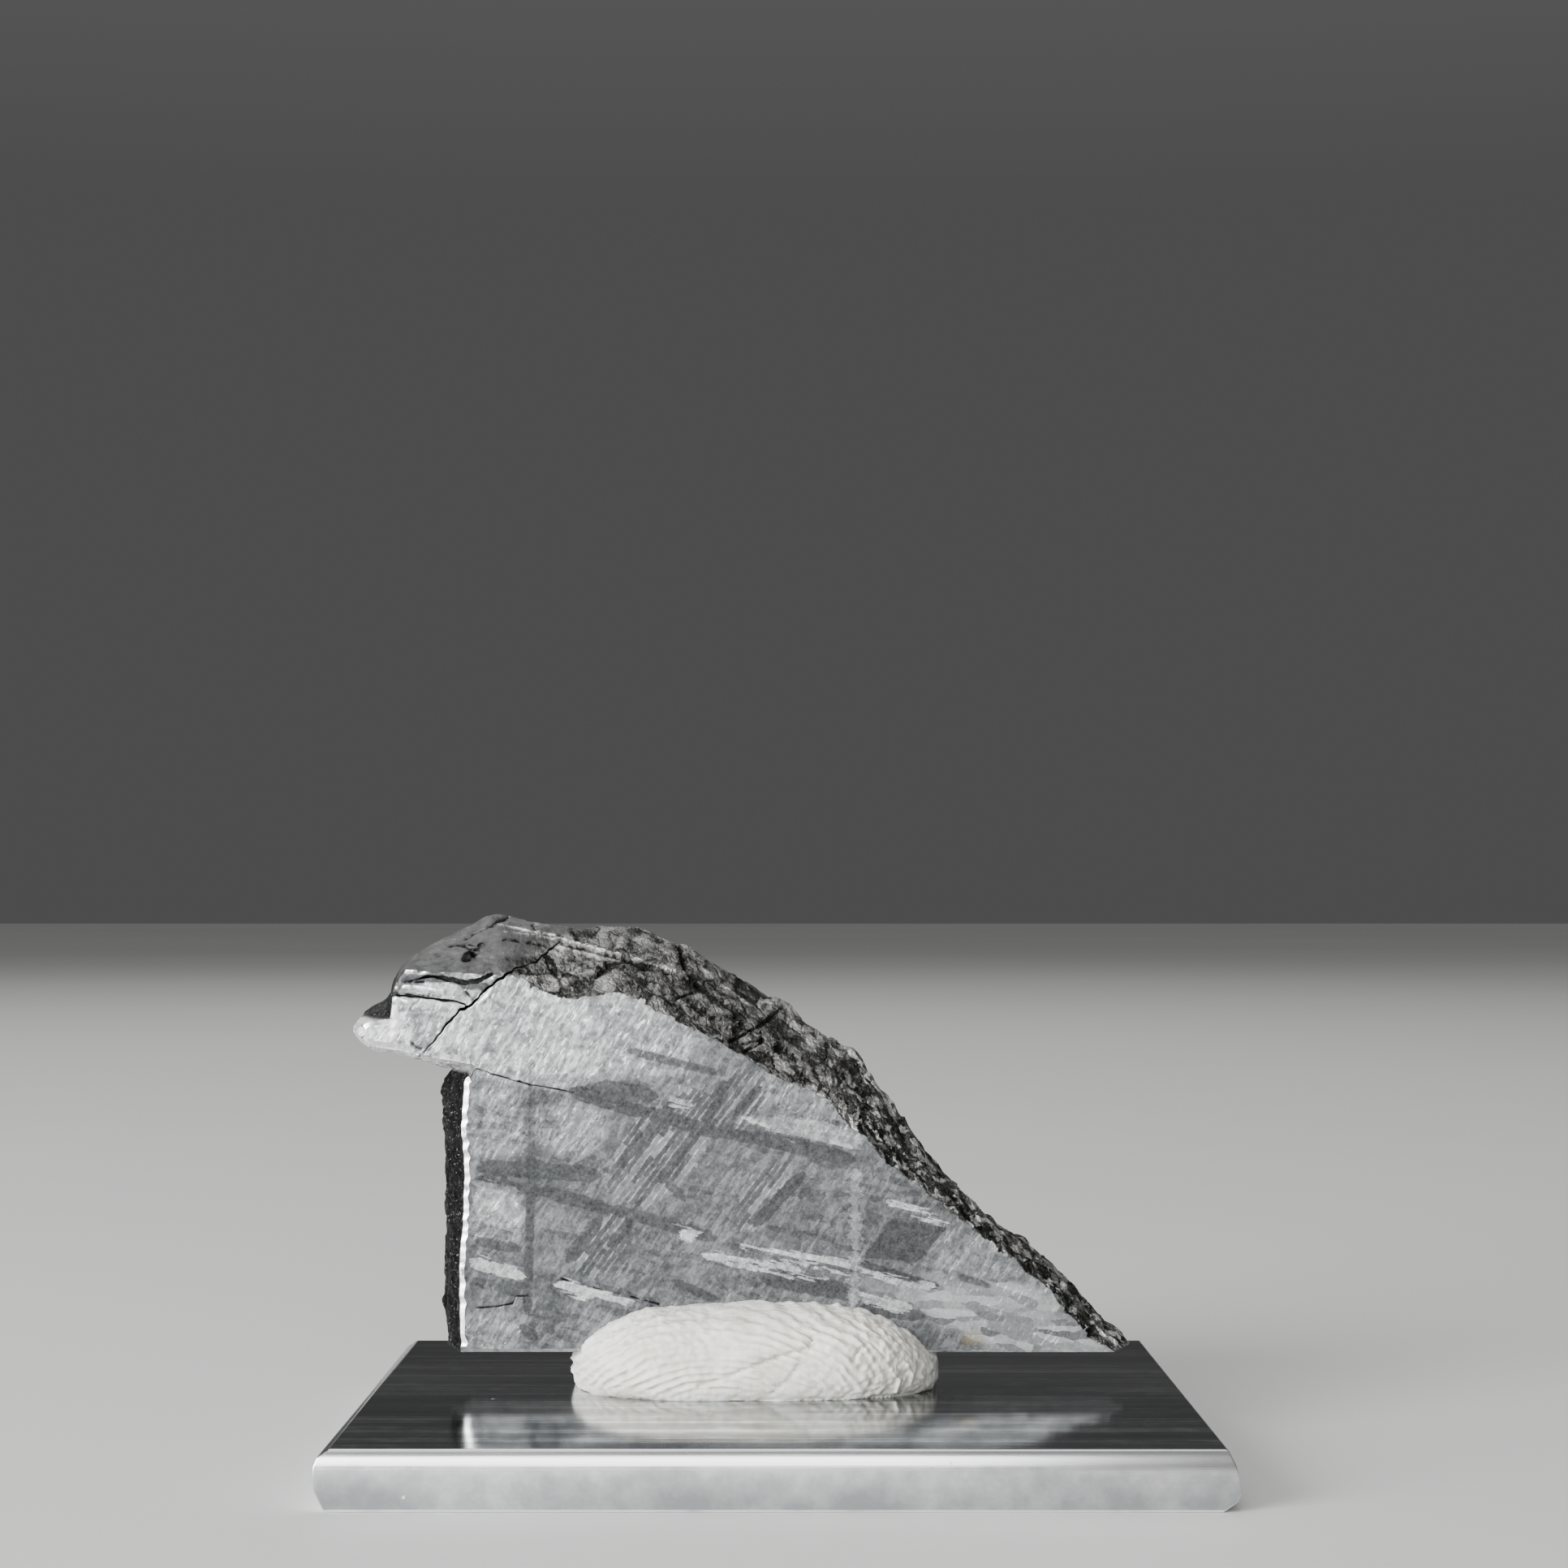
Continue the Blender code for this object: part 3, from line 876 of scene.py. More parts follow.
# How far inside a straight band a picture point lies, in picture points.
def insideBand(column, row, x1, y1, x2, y2, width):
    length = math.hypot(x2 - x1, y2 - y1)
    along = ((column - x1) * (x2 - x1) + (row - y1) * (y2 - y1)) / length
    across = ((column - x1) * (y2 - y1) - (row - y1) * (x2 - x1)) / length
    toEnd = length / 2 - abs(along - length / 2)
    taper = min(1.0, math.sqrt(max(0.0, toEnd) / (0.9 * width)))
    return width / 2 * taper - abs(across) + min(0.0, toEnd)


# The same for a patch with straight sides, whose corners run clockwise in the picture.
def insidePatch(column, row, corners):
    return min(((x2 - x1) * (row - y1) - (y2 - y1) * (column - x1)) / math.hypot(x2 - x1, y2 - y1)
               for (x1, y1), (x2, y2) in zip(corners, corners[1:] + corners[:1]))


# How far into a soft area a picture point lies, from 0 to 1.
def insideArea(column, row, centre, halfSizes, turn):
    x, y = column - centre[0], row - centre[1]
    along = (x * math.cos(turn) - y * math.sin(turn)) / halfSizes[0]
    across = (x * math.sin(turn) + y * math.cos(turn)) / halfSizes[1]
    return 1 - smoothStep(math.hypot(along, across), 0.7, 1.1)


# Stores where the bands, combs and pale areas lie, for the etched face's material; the pale areas
# are partly the etch's paler patches and partly painted light.
def paintFace(bm, faceY):
    layers = {name: bm.verts.layers.float.new(name) for name in (
        "darkBand", "darkShade", "paleBand", "paleShade", "comb", "flecks", "pale")}
    scale = (faceY - viewpoint["place"][1]) / viewpoint["focalPixels"]
    verts = dict.fromkeys(
        vert for face in bm.faces if face.material_index == 1 for vert in face.verts)
    for vert in verts:
        column, row = pictureOf(Vector((vert.co.x, faceY, vert.co.z)))
        for kind in ("dark", "pale"):
            inside, shade = max(
                [(insideBand(column, row, *band[:5]), band[5])
                 for band in facePattern[kind + "Bands"]]
                + [(insidePatch(column, row, corners), share)
                   for corners, share in facePattern[kind + "Patches"]])
            vert[layers[kind + "Band"]] = max(-0.6, inside * scale / mm)
            vert[layers[kind + "Shade"]] = shade
        for kind in ("comb", "flecks", "pale"):
            vert[layers[kind]] = max(
                share * insideArea(column, row, centre, halfSizes, turn)
                for centre, halfSizes, turn, share in facePattern[kind])


def meteoritePiece():
    low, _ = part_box("meteorite")
    faceY, baseZ = low.y, low.z
    piece = looseCopy(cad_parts["meteorite"], "meteoriteSlice")
    selectFaces(piece, lambda poly: poly.normal.y < -0.999 and poly.center.y < faceY + 0.01 * mm)
    bpy.ops.mesh.delete(type="FACE")
    bpy.ops.mesh.select_all(action="SELECT")
    bpy.ops.mesh.tris_convert_to_quads(face_threshold=math.radians(38),
                                       shape_threshold=sliceShape["sharpAngle"])
    bpy.ops.object.mode_set(mode="OBJECT")
    bm = meshToSculpt(piece)
    crease = bm.edges.layers.float.new("crease_edge")
    for edge in bm.edges:
        if len(edge.link_faces) == 2 and edge.calc_face_angle() > sliceShape["sharpAngle"]:
            edge[crease] = 1.0
    keepSculpted(bm, piece)
    applyModifier(piece, "SUBSURF", levels=sliceShape["levels"],
                  render_levels=sliceShape["levels"])
    sculptCrust(piece, faceY, baseZ)
    carveCrust(piece, crustLines)
    for material in (hacklyCrust(), etchedFace(), brightArris()):
        piece.data.materials.append(material)
    closeFace(piece, faceY, baseZ)
    for poly in piece.data.polygons:      # the sawn underside is bare iron
        if poly.center.z < baseZ + 0.03 * mm and poly.material_index == 0:
            poly.material_index = 2
    smoothShade(piece, sliceShape["smoothAngle"])
    finishPiece(piece, "etched_iron", "meteorite")


# Iron: the etched face, its arris and the broken crust.

# The pattern on the sawn face.  Bands: two ends in the picture, width in picture points and
# strength.  Areas: centre, half sizes, turn and strength.
facePattern = {
    "darkBands": (
        (656, 1305, 655, 1440, 9, 0.50),
        (655, 1440, 650, 1622, 11, 0.80),
        (700, 1343, 800, 1372, 20, 0.85),
        (790, 1368, 890, 1398, 17, 0.85),
        (880, 1393, 975, 1412, 14, 0.80),
        (960, 1408, 1055, 1430, 18, 0.75),
        (728, 1338, 812, 1352, 22, 0.75),
        (772, 1294, 884, 1322, 10, 0.70),
        (586, 1438, 742, 1448, 20, 0.75),
        (584, 1453, 672, 1470, 14, 0.85),
        (665, 1466, 755, 1492, 17, 0.85),
        (750, 1488, 885, 1527, 15, 0.75),
        (585, 1529, 642, 1540, 13, 0.75),
        (826, 1577, 884, 1602, 11, 0.80),
        (918, 1398, 1048, 1428, 18, 0.80),
        (1058, 1556, 1158, 1586, 9, 0.90),
        (935, 1572, 1046, 1592, 24, 0.80),
        (1055, 1612, 1140, 1622, 16, 0.70),
        (1180, 1572, 1222, 1586, 9, 0.70),
        (902, 1328, 862, 1394, 11, 0.80),
        (938, 1338, 878, 1404, 13, 0.80),
        (992, 1444, 928, 1512, 15, 0.85),
        (742, 1498, 698, 1557, 18, 0.80),
        (782, 1503, 748, 1537, 15, 0.80),
        (838, 1350, 760, 1440, 13, 0.75),
        (866, 1385, 812, 1458, 13, 0.80),
        (818, 1452, 845, 1480, 12, 0.70),
        (640, 1632, 664, 1652, 16, 0.70),
        (497, 1206, 548, 1208, 7, 0.85),
        (488, 1226, 545, 1228, 4, 0.60),
        (488, 1243, 556, 1246, 5, 0.45),
        (1120, 1420, 1160, 1432, 22, 0.50),
    ),
    "paleBands": (
        (1055, 1440, 1052, 1612, 12, 0.38),
        (916, 1379, 1054, 1413, 8, 0.90),
        (578, 1553, 647, 1572, 14, 0.75),
        (685, 1582, 782, 1606, 12, 0.85),
        (824, 1355, 856, 1364, 8, 0.60),
        (838, 1518, 854, 1528, 15, 0.85),
        (908, 1534, 1052, 1560, 7, 0.90),
        (868, 1545, 985, 1566, 8, 0.90),
        (893, 1556, 1022, 1582, 6, 0.85),
        (960, 1550, 1060, 1574, 5, 0.85),
        (1058, 1566, 1152, 1586, 8, 0.80),
        (1052, 1590, 1122, 1612, 8, 0.85),
        (1062, 1602, 1110, 1612, 6, 0.80),
        (1096, 1481, 1172, 1509, 6, 0.90),
    ),
    "darkPatches": (
        (((1100, 1503), (1168, 1512), (1130, 1556), (1062, 1550)), 0.85),
        (((935, 1580), (960, 1568), (1050, 1588), (1046, 1604)), 0.80),
        (((540, 1204), (575, 1208), (604, 1210), (600, 1226), (575, 1218), (548, 1213)), 0.90),
        (((500, 1250), (540, 1246), (556, 1262), (530, 1296), (505, 1292)), 0.35),
        (((1068, 1395), (1100, 1385), (1130, 1440), (1100, 1450)), 0.35),
    ),
    "palePatches": (
        (((918, 1374), (1000, 1376), (1060, 1400), (1060, 1416), (960, 1398)), 0.42),
        (((835, 1512), (858, 1520), (848, 1535)), 0.90),
        (((584, 1452), (636, 1462), (640, 1520), (590, 1505)), 0.30),
    ),
    "comb": (
        ((815, 1415), (100, 52), 0.90, 0.95),
        ((940, 1475), (58, 30), 0.90, 0.85),
        ((745, 1535), (55, 28), 0.90, 0.75),
        ((905, 1358), (56, 34), 0.90, 0.80),
    ),
    "flecks": (
        ((1250, 1625), (150, 48), -0.30, 0.80),
        ((1120, 1590), (70, 22), -0.25, 0.50),
    ),
    # pale areas: some are the etch's own paler patches; the strongest, to the upper left, are
    # painted light, the face coloured lighter where the light falls
    "pale": (
        ((470, 1270), (50, 40), 0.0, 1.80),
        ((540, 1258), (80, 46), 0.0, 1.25),
        ((640, 1265), (150, 75), -0.25, 0.95),
        ((770, 1270), (110, 60), -0.35, 0.70),
        ((612, 1385), (42, 55), 0.0, 0.42),
        ((700, 1390), (52, 40), 0.0, 0.45),
        ((612, 1500), (42, 42), 0.0, 0.45),
        ((610, 1640), (50, 30), 0.0, 0.30),
        ((1010, 1360), (90, 40), -0.4, 0.45),
        ((1240, 1590), (130, 60), -0.7, 0.30),
    ),
}

etchedLook = {
    "bend": (0.42, 0.0, 0.42),       # how crooked the lamellae run, in mm
    "streakTurn": math.radians(57),
    # fine lamellae: turn, how many to the mm along and across, the tones shown, lightening
    "lamellae": (
        (math.radians(53), 1.1, 4.2, 0.70, 0.84, 0.10),
        (math.radians(-13), 0.5, 3.0, 0.66, 0.85, -0.07),
        (math.radians(61), 1.5, 7.0, 0.70, 0.84, 0.26),
    ),
    # the paler parts include painted light, so these lamellae show mostly where light is painted
    "paleOnly": 0.2,                 # those lightened by more are seen in the paler parts only
    "fleckTurn": math.radians(-9),
    "combTurn": math.radians(53),
    "splinterTurn": math.radians(-14),
    # tone of the broad bands, and how much of the mottling shows in them
    "bands": (("dark", 0.09, 0.65), ("pale", 0.72, 3.4)),
    "tones": ((0.0, (0.022, 0.023, 0.025)), (0.22, (0.115, 0.120, 0.124)),
              (0.45, (0.270, 0.279, 0.284)), (0.72, (0.560, 0.575, 0.575)),
              (1.0, (0.950, 0.960, 0.955))),
    "stainPlace": (11.1, -0.55, 6.1),
    "stainColour": (0.34, 0.27, 0.15, 1),
    "reliefDepth": 0.04 * mm,
}


def etchedFace():
    material, tree, shader = newMaterial("etched iron face", 0.85, 0.5)
    position = inMillimetres(tree)
    bent = crooked(tree, position, 1.6, 4.0, etchedLook["bend"])
    streakWay = turned(tree, position, etchedLook["streakTurn"])
    clouds = cloudy(tree, position, 0.35, 3.0, 0.55)
    grain = cloudy(tree, position, 6.5, 4.0, 0.7)
    ragged = cloudy(tree, position, 2.6, 4.0, 0.7)
    dapple = cloudy(tree, position, 2.0, 5.0, 0.75)
    streaky = cloudy(tree, stretch(tree, streakWay, (1.5, 1.0, 3.4)), 1.0, 5.0, 0.72)
    # pale carries paler patches of the etch and painted light: to the upper left the face is
    # coloured lighter, livelier and more flecked, as if lit there
    pale = painted(tree, "pale")
    mottles = add(tree, around(tree, streaky, 0.26), around(tree, dapple, 0.42))
    lively = add(tree, times(tree, pale, 1.5), 1.0)
    tone = sumOf(tree, (0.23, 1), (pale, 0.26), (around(tree, clouds, 0.28), 1),
                 (times(tree, mottles, lively), 1))

    # fine lamellae everywhere, in the directions of the pattern
    for turn, perLength, perWidth, low, high, lift in etchedLook["lamellae"]:
        family = useGroup(tree, lamellaFamily, {
            "Position": bent, "Turn": turn, "Per mm along": perLength, "Per mm across": perWidth})
        chosen = smoothRange(tree, family["Tone"], low, high, 0.0, lift)
        if lift > etchedLook["paleOnly"]:
            chosen = times(tree, chosen, add(tree, times(tree, pale, 0.8), 0.2))
        tone = add(tree, tone, chosen)

    # bright flecks that lie nearly flat towards the right tip
    flecks = useGroup(tree, lamellaFamily, {
        "Position": bent, "Turn": etchedLook["fleckTurn"], "Per mm along": 0.75,
        "Per mm across": 2.6})
    fleckTone = add(tree, 0.24, times(tree, flecks["Tone"], 0.55))
    tone = blendValue(tree, painted(tree, "flecks"), tone, fleckTone)

    # combs of short bars with thin bright lines between them
    gentle = put(tree, "ShaderNodeMix", {"Factor": 0.4, "A": position, "B": bent},
                 data_type="VECTOR").outputs["Result"]
    comb = useGroup(tree, barFamily, {
        "Position": gentle, "Turn": etchedLook["combTurn"], "Per mm along": 0.55,
        "Per mm across": 3.0})
    brightLine = times(tree, comb["Line"], smoothRange(tree, dapple, 0.40, 0.62, 0.0, 0.36))
    barTone = sumOf(tree, (smoothRange(tree, comb["Tone"], 0.35, 0.95, 0.15, 0.44), 1),
                    (brightLine, 1), (around(tree, streaky, 0.5), 1))
    combEdge = add(tree, painted(tree, "comb"), around(tree, ragged, 1.5))
    tone = blendValue(tree, smoothRange(tree, combEdge, 0.30, 0.65, 0.0, 0.75), tone, barTone)

    # the broad bands, patchy inside: the dark have ragged edges, the pale end in splinters
    level = turned(tree, position, etchedLook["splinterTurn"])
    splinters = cloudy(tree, stretch(tree, level, (0.45, 1.0, 3.6)), 1.0, 4.0, 0.65)
    wander = {"dark": add(tree, around(tree, ragged, 0.46), around(tree, grain, 0.16)),
              "pale": add(tree, around(tree, splinters, 1.5), around(tree, grain, 0.20))}
    patchy = smoothRange(tree, ragged, 0.27, 0.50, 0.50, 1.0)
    for name, bandTone, mottle in etchedLook["bands"]:
        inside = smoothRange(tree, add(tree, painted(tree, name + "Band"), wander[name]),
                             -0.05, 0.06)
        share = times(tree, times(tree, inside, patchy), painted(tree, name + "Shade"))
        tone = blendValue(tree, share, tone, add(tree, times(tree, mottles, mottle), bandTone))

    # grain of the etch, flecks that catch the light, painted shade in the grooves and a painted
    # highlight on the lips
    flecky = cloudy(tree, stretch(tree, streakWay, (1.8, 1.0, 6.4)), 1.0, 3.0, 0.6)
    fleck = times(tree, smoothRange(tree, flecky, 0.56, 0.68),
                  add(tree, times(tree, pale, 0.36), 0.12))
    fleck = times(tree, fleck, smoothRange(tree, ragged, 0.42, 0.58, 0.15, 1.2))
    fleck = times(tree, fleck, smoothRange(tree, tone, 0.10, 0.30, 0.25, 1.0))
    groove = painted(tree, "groove")
    uneven = smoothRange(tree, ragged, 0.30, 0.55, 0.35, 1.0)
    lipHighlight = times(tree, smoothRange(tree, groove, 0.05, 0.6, 0.0, 1.15), uneven)
    grooveShade = times(tree, smoothRange(tree, groove, -0.8, -0.2, 0.42, 0.0), uneven)
    tone = sumOf(tree, (tone, 1), (around(tree, grain, 0.42), 1), (fleck, 1), (lipHighlight, 1))
    tone = less(tree, tone, grooveShade, clamp=True)

    # one brown stain
    stainPlace = vectorMaths(tree, "SUBTRACT", bent, etchedLook["stainPlace"])
    stainSize = put(tree, "ShaderNodeVectorMath",
                    {0: stretch(tree, stainPlace, (1.0, 1.0, 1.7))}, operation="LENGTH")
    stain = smoothRange(tree, stainSize.outputs["Value"], 0.2, 1.0, 0.45, 0.0)
    base = ramp(tree, tone, etchedLook["tones"])
    tree.links.new(smoothRange(tree, tone, 0.1, 0.95, 0.58, 0.34), shader.inputs["Roughness"])
    dress(tree, shader, blendColour(tree, stain, base, etchedLook["stainColour"]), tone, 0.6,
          etchedLook["reliefDepth"])
    return material


def brightArris():
    material, tree, shader = newMaterial("bright iron arris", 0.9, 0.34)
    position = inMillimetres(tree)
    base = ramp(tree, cloudy(tree, position, 1.6, 4.0, 0.65), (
        (0.32, (0.12, 0.12, 0.12)), (0.42, (0.62, 0.63, 0.63)), (0.58, (0.96, 0.97, 0.96))))
    scratches = cloudy(tree, stretch(tree, position, (1, 9, 1)), 2.0, 3.0)
    dress(tree, shader, base, scratches, 0.4, 0.03 * mm)
    return material


crustLook = {
    "grainTurn": math.radians(-58),
    "flakes": ((1.0, 1.0), (2.5, 0.6)),      # how many to the mm, and share
    "roughTones": ((0.05, (0.018, 0.018, 0.017)), (0.22, (0.130, 0.129, 0.123)),
                   (0.44, (0.330, 0.328, 0.318)), (0.72, (0.860, 0.865, 0.845))),
    "plainTones": ((0.02, (0.010, 0.010, 0.010)), (0.16, (0.080, 0.082, 0.081)),
                   (0.44, (0.145, 0.148, 0.145)), (0.80, (0.800, 0.805, 0.790))),
    "bareTones": ((0.20, (0.40, 0.40, 0.40)), (0.40, (0.84, 0.85, 0.84)),
                  (0.60, (0.97, 0.98, 0.96))),
    # shadeTones: the painted shade of the broken left side and of the hollow over the beak's tip,
    # nearly black with a few specks
    "shadeTones": ((0.0, (0.004, 0.004, 0.004)), (0.6, (0.015, 0.015, 0.015)),
                  (1.0, (0.35, 0.36, 0.36))),
    "reliefDepth": 0.22 * mm,
}


# Flakes: each cell has its own tilt and tone, with a crevice round it.
def flakes(tree, place):
    heights, tones, crevices = 0.0, 0.0, 0.0
    for scale, share in crustLook["flakes"]:
        cell = put(tree, "ShaderNodeTexVoronoi", {"Vector": place, "Scale": scale}).outputs
        edge = put(tree, "ShaderNodeTexVoronoi", {"Vector": place, "Scale": scale},
                   feature="DISTANCE_TO_EDGE").outputs["Distance"]
        away = stretch(tree, vectorMaths(tree, "SUBTRACT", place, cell["Position"]), (scale,) * 3)
        tilt = vectorMaths(tree, "SUBTRACT", cell["Color"], (0.5, 0.5, 0.5))
        lift = put(tree, "ShaderNodeVectorMath", {0: away, 1: tilt},
                   operation="DOT_PRODUCT").outputs["Value"]
        own = redOf(tree, cell["Color"])
        heights = add(tree, heights, times(tree, lift, share))
        tones = add(tree, tones, times(tree, own, share * 0.24))
        crevices = add(tree, crevices, smoothRange(tree, edge, 0.0, 0.16, share, 0.0))
    return heights, tones, crevices, own


# Where the crust is coloured dark as painted shade, at its broken left side and in the hollow
# over the beak's tip, and where it is bare, at the tip itself.  The places are in mm.
def crustZones(tree, side):
    broken = times(tree, smoothRange(tree, side["X"], -17.6, -17.1, 1.0, 0.0),
                   smoothRange(tree, side["Z"], 21.0, 21.5, 1.0, 0.0))
    hollow = times(tree, smoothRange(tree, side["X"], -21.9, -21.5, 0.85, 0.0),
                   smoothRange(tree, side["Z"], 24.1, 24.35))
    tip = add(tree, side["Z"], times(tree, side["X"], 0.22))
    bare = times(tree, smoothRange(tree, side["X"], -18.0, -17.0, 1.0, 0.0),
                 smoothRange(tree, tip, 19.0, 19.3, 1.0, 0.0))
    bare = times(tree, bare, smoothRange(tree, side["Z"], 20.9, 21.3))
    bare = times(tree, bare, smoothRange(tree, side["Y"], 1.0, 4.0, 1.0, 0.0))
    return maths(tree, "MAXIMUM", broken, hollow), bare


def hacklyCrust():
    material, tree, shader = newMaterial("hackly iron crust", 0.8, 0.4)
    position = inMillimetres(tree)
    side = axes(tree, position)
    relief, hackle, worn = (painted(tree, name) for name in ("relief", "hackle", "worn"))
    bent = crooked(tree, position, 1.4, 3.0, (0.5, 0.5, 0.5))
    grainWay = turned(tree, bent, crustLook["grainTurn"])
    blotches = cloudy(tree, position, 0.9, 4.0, 0.6)
    fine = cloudy(tree, position, 7.0, 4.0, 0.65)
    hackles = put(tree, "ShaderNodeTexNoise", {
        "Vector": stretch(tree, grainWay, (0.5, 1.0, 1.0)), "Scale": 1.9, "Detail": 3.0,
        "Roughness": 0.6}, noise_type="RIDGED_MULTIFRACTAL").outputs["Fac"]
    heights, tones, crevices, own = flakes(tree, stretch(tree, grainWay, (0.62, 1.0, 1.0)))
    grit = less(tree, fine, 0.5)

    # the slope to the right is darker, with small facets that catch the light
    slope = smoothRange(tree, side["X"], 0.0, 5.0)
    facets = add(tree, smoothRange(tree, own, 0.60, 0.72, 0.0, 0.30),
                 smoothRange(tree, fine, 0.56, 0.68, -0.07, 0.16))
    # relief and crevices colour the crust: painted highlight on raised chips, painted shade in
    # crevices, grooves and the pit, here and in the plainer and bare crust below
    tone = sumOf(tree, (tones, 1), (relief, 0.14), (blotches, 0.44), (grit, 0.5),
                 (less(tree, hackles, 0.9), 0.12), (crevices, -0.11),
                 (times(tree, facets, slope), 1))
    tone = add(tree, tone, times(tree, worn, 0.34), clamp=True)
    plainTone = sumOf(tree, (blotches, 0.7), (relief, 0.20), (grit, 0.25))
    plainTone = add(tree, plainTone, times(tree, worn, 0.30), clamp=True)
    bareTone = add(tree, blotches, times(tree, relief, 0.2))
    paintedShade, bare = crustZones(tree, side)
    colours = blendColour(tree, hackle, ramp(tree, plainTone, crustLook["plainTones"]),
                          ramp(tree, tone, crustLook["roughTones"]))
    colours = blendColour(tree, bare, colours, ramp(tree, bareTone, crustLook["bareTones"]))
    # painted shade: the broken left side and the hollow over the beak's tip coloured nearly black
    colours = blendColour(tree, paintedShade, colours, ramp(
        tree, smoothRange(tree, fine, 0.54, 0.68), crustLook["shadeTones"]))
    tree.links.new(smoothRange(tree, tone, 0.1, 0.8, 0.52, 0.30), shader.inputs["Roughness"])
    broken = sumOf(tree, (heights, 0.7), (crevices, -0.35), (fine, 0.7), (hackles, 0.45))
    height = blendValue(tree, hackle, times(tree, fine, 0.25), broken)
    dress(tree, shader, colours, height, 0.95, crustLook["reliefDepth"])
    return material


meteoritePiece()


# The putty: a pillow of it, pressed against the slice with a fingertip.

puttyShape = {
    "centre": (-1.2, 3.1, 5.05),      # in mm, as everything here
    "halfSize": (10.45, 7.95, 3.25),
    "squareness": 0.64,               # along and across: the smaller, the squarer
    "leftSquareness": 0.72,           # upwards
    "rightSquareness": 0.84,
    "rightTaper": (0.35, 0.30, 1.5),  # where its top starts to fall, how far, how curved
    "endDroop": 0.75,
    "cuts": 18,
    "smoothAngle": math.radians(50),
    "ridgeCentre": (880, 1800),       # picture point that the fingerprint's ridges bend round
    "ridgeSqueeze": 0.80,
    "ridgePitch": 9.5,                # picture points
    "ridgeHeight": 0.075,
    "ridgeDepth": -3,                 # the depth that the ridges are laid out at
    "ridgeBend": ((2.4, 1.1), (0.9, 0.45)),      # size and strength of what bends them
    "swelling": ((4.5, 0.20), (1.7, 0.06)),      # size and height of its soft unevenness
    "lumpSize": 0.80,
    "lumpHeight": 0.12,
    "pebbled": (870, 1650, 75, 28),   # a patch with few ridges: middle, half sizes in the picture
    "lumpy": (1030, 1090),            # picture columns where the lumpy right end starts
    "footCurl": 0.22,                 # how far the foot curls in under the pillow
    "fineFront": 0.6,                 # finer faces in front of this depth
    # folds, nicks and pleats, as picture points, half width and height
    "folds": (
        ((1002, 1652), (996, 1662), (968, 1670), (930, 1684), (895, 1698), (862, 1708),
         0.13, -0.20),
        ((1000, 1648), (1002, 1656), (996, 1664), 0.12, -0.28),
        ((985, 1682), (968, 1704), (950, 1718), 0.14, -0.10),
        ((1052, 1676), (1058, 1664), (1068, 1657), 0.10, -0.22),
        ((1060, 1645), (1075, 1655), (1092, 1672), 0.11, -0.14),
        ((905, 1676), (930, 1668), (962, 1660), 0.30, 0.07),
        ((1098, 1688), (1108, 1700), (1104, 1714), 0.12, 0.14),
        ((1118, 1682), (1124, 1694), (1121, 1706), 0.12, 0.12),
    ),
    "tones": ((0.20, (0.62, 0.585, 0.50)), (0.45, (0.82, 0.80, 0.725)),
              (0.66, (0.94, 0.935, 0.88))),
    "dustColour": (0.35, 0.34, 0.31, 1),
}


def squared(value, squareness):
    return math.copysign(abs(value) ** squareness, value)


# A ball's point, moved to where it lies on the pillow.
def onPillow(ball):
    centre, half = Vector(puttyShape["centre"]), puttyShape["halfSize"]
    side = smoothStep(ball.x, -0.3, 0.6)
    square = puttyShape["leftSquareness"] * (1 - side) + puttyShape["rightSquareness"] * side
    x, y = (squared(value, puttyShape["squareness"]) for value in ball.xy)
    z = squared(ball.z, square)
    start, fall, power = puttyShape["rightTaper"]
    if x > start and z > 0:
        z *= 1 - fall * (x - start) ** power
    droop = puttyShape["endDroop"] * abs(x) ** 4
    return (centre + Vector((x * half[0], y * half[1], z * half[2] - droop))) * mm


def puttyPiece():
    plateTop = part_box("base_plate")[1].z
    bpy.ops.object.select_all(action="DESELECT")
    bpy.ops.mesh.primitive_cube_add(size=2)
    piece = bpy.context.object
    piece.name = "mountingPutty"
    editWhole(piece, bpy.ops.mesh.subdivide, number_cuts=puttyShape["cuts"])
    for vert in piece.data.vertices:
        vert.co = onPillow(vert.co.normalized())
    applyModifier(piece, "SUBSURF", levels=2, render_levels=2)
    refineFront(piece)
    # flat where it rests on the plate
    editWhole(piece, bpy.ops.mesh.bisect, plane_co=(0, 0, plateTop), plane_no=(0, 0, -1),
              clear_outer=True, use_fill=True, threshold=1e-7)
    sculptPutty(piece, plateTop)
    carvePutty(piece, puttyShape["folds"], plateTop)
    # the slot that the slice is pressed into
    cutter = looseCopy(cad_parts["meteorite"], "slotCutter")
    applyModifier(piece, "BOOLEAN", operation="DIFFERENCE", solver="EXACT", object=cutter)
    bpy.data.objects.remove(cutter, do_unlink=True)
    smoothShade(piece, puttyShape["smoothAngle"])
    piece.data.materials.append(palePutty())
    finishPiece(piece, "putty", "mounting_putty")


# Smaller faces where the fingerprint's fine ridges are.
def refineFront(piece):
    bm = meshToSculpt(piece)
    front = dict.fromkeys(
        edge for face in bm.faces
        if face.calc_center_median().y < puttyShape["fineFront"] * mm for edge in face.edges)
    bmesh.ops.subdivide_edges(bm, edges=list(front), cuts=2, use_grid_fill=True, smooth=0.0)
    keepSculpted(bm, piece)


# Moves a point of the putty, whose foot stays on the plate and may curl in.
def press(vert, amount, plateTop, curl=0.0):
    atFoot = vert.co.z < plateTop + 0.01 * mm
    move = vert.normal * (amount - curl * atFoot)
    if atFoot:
        move.z = 0
    vert.co += move
    vert.co.z = max(vert.co.z, plateTop)


# Noise of several sizes, each with its height.
def noiseSum(place, *layers):
    return sum(noise.noise(place / size) * height for size, height in layers)


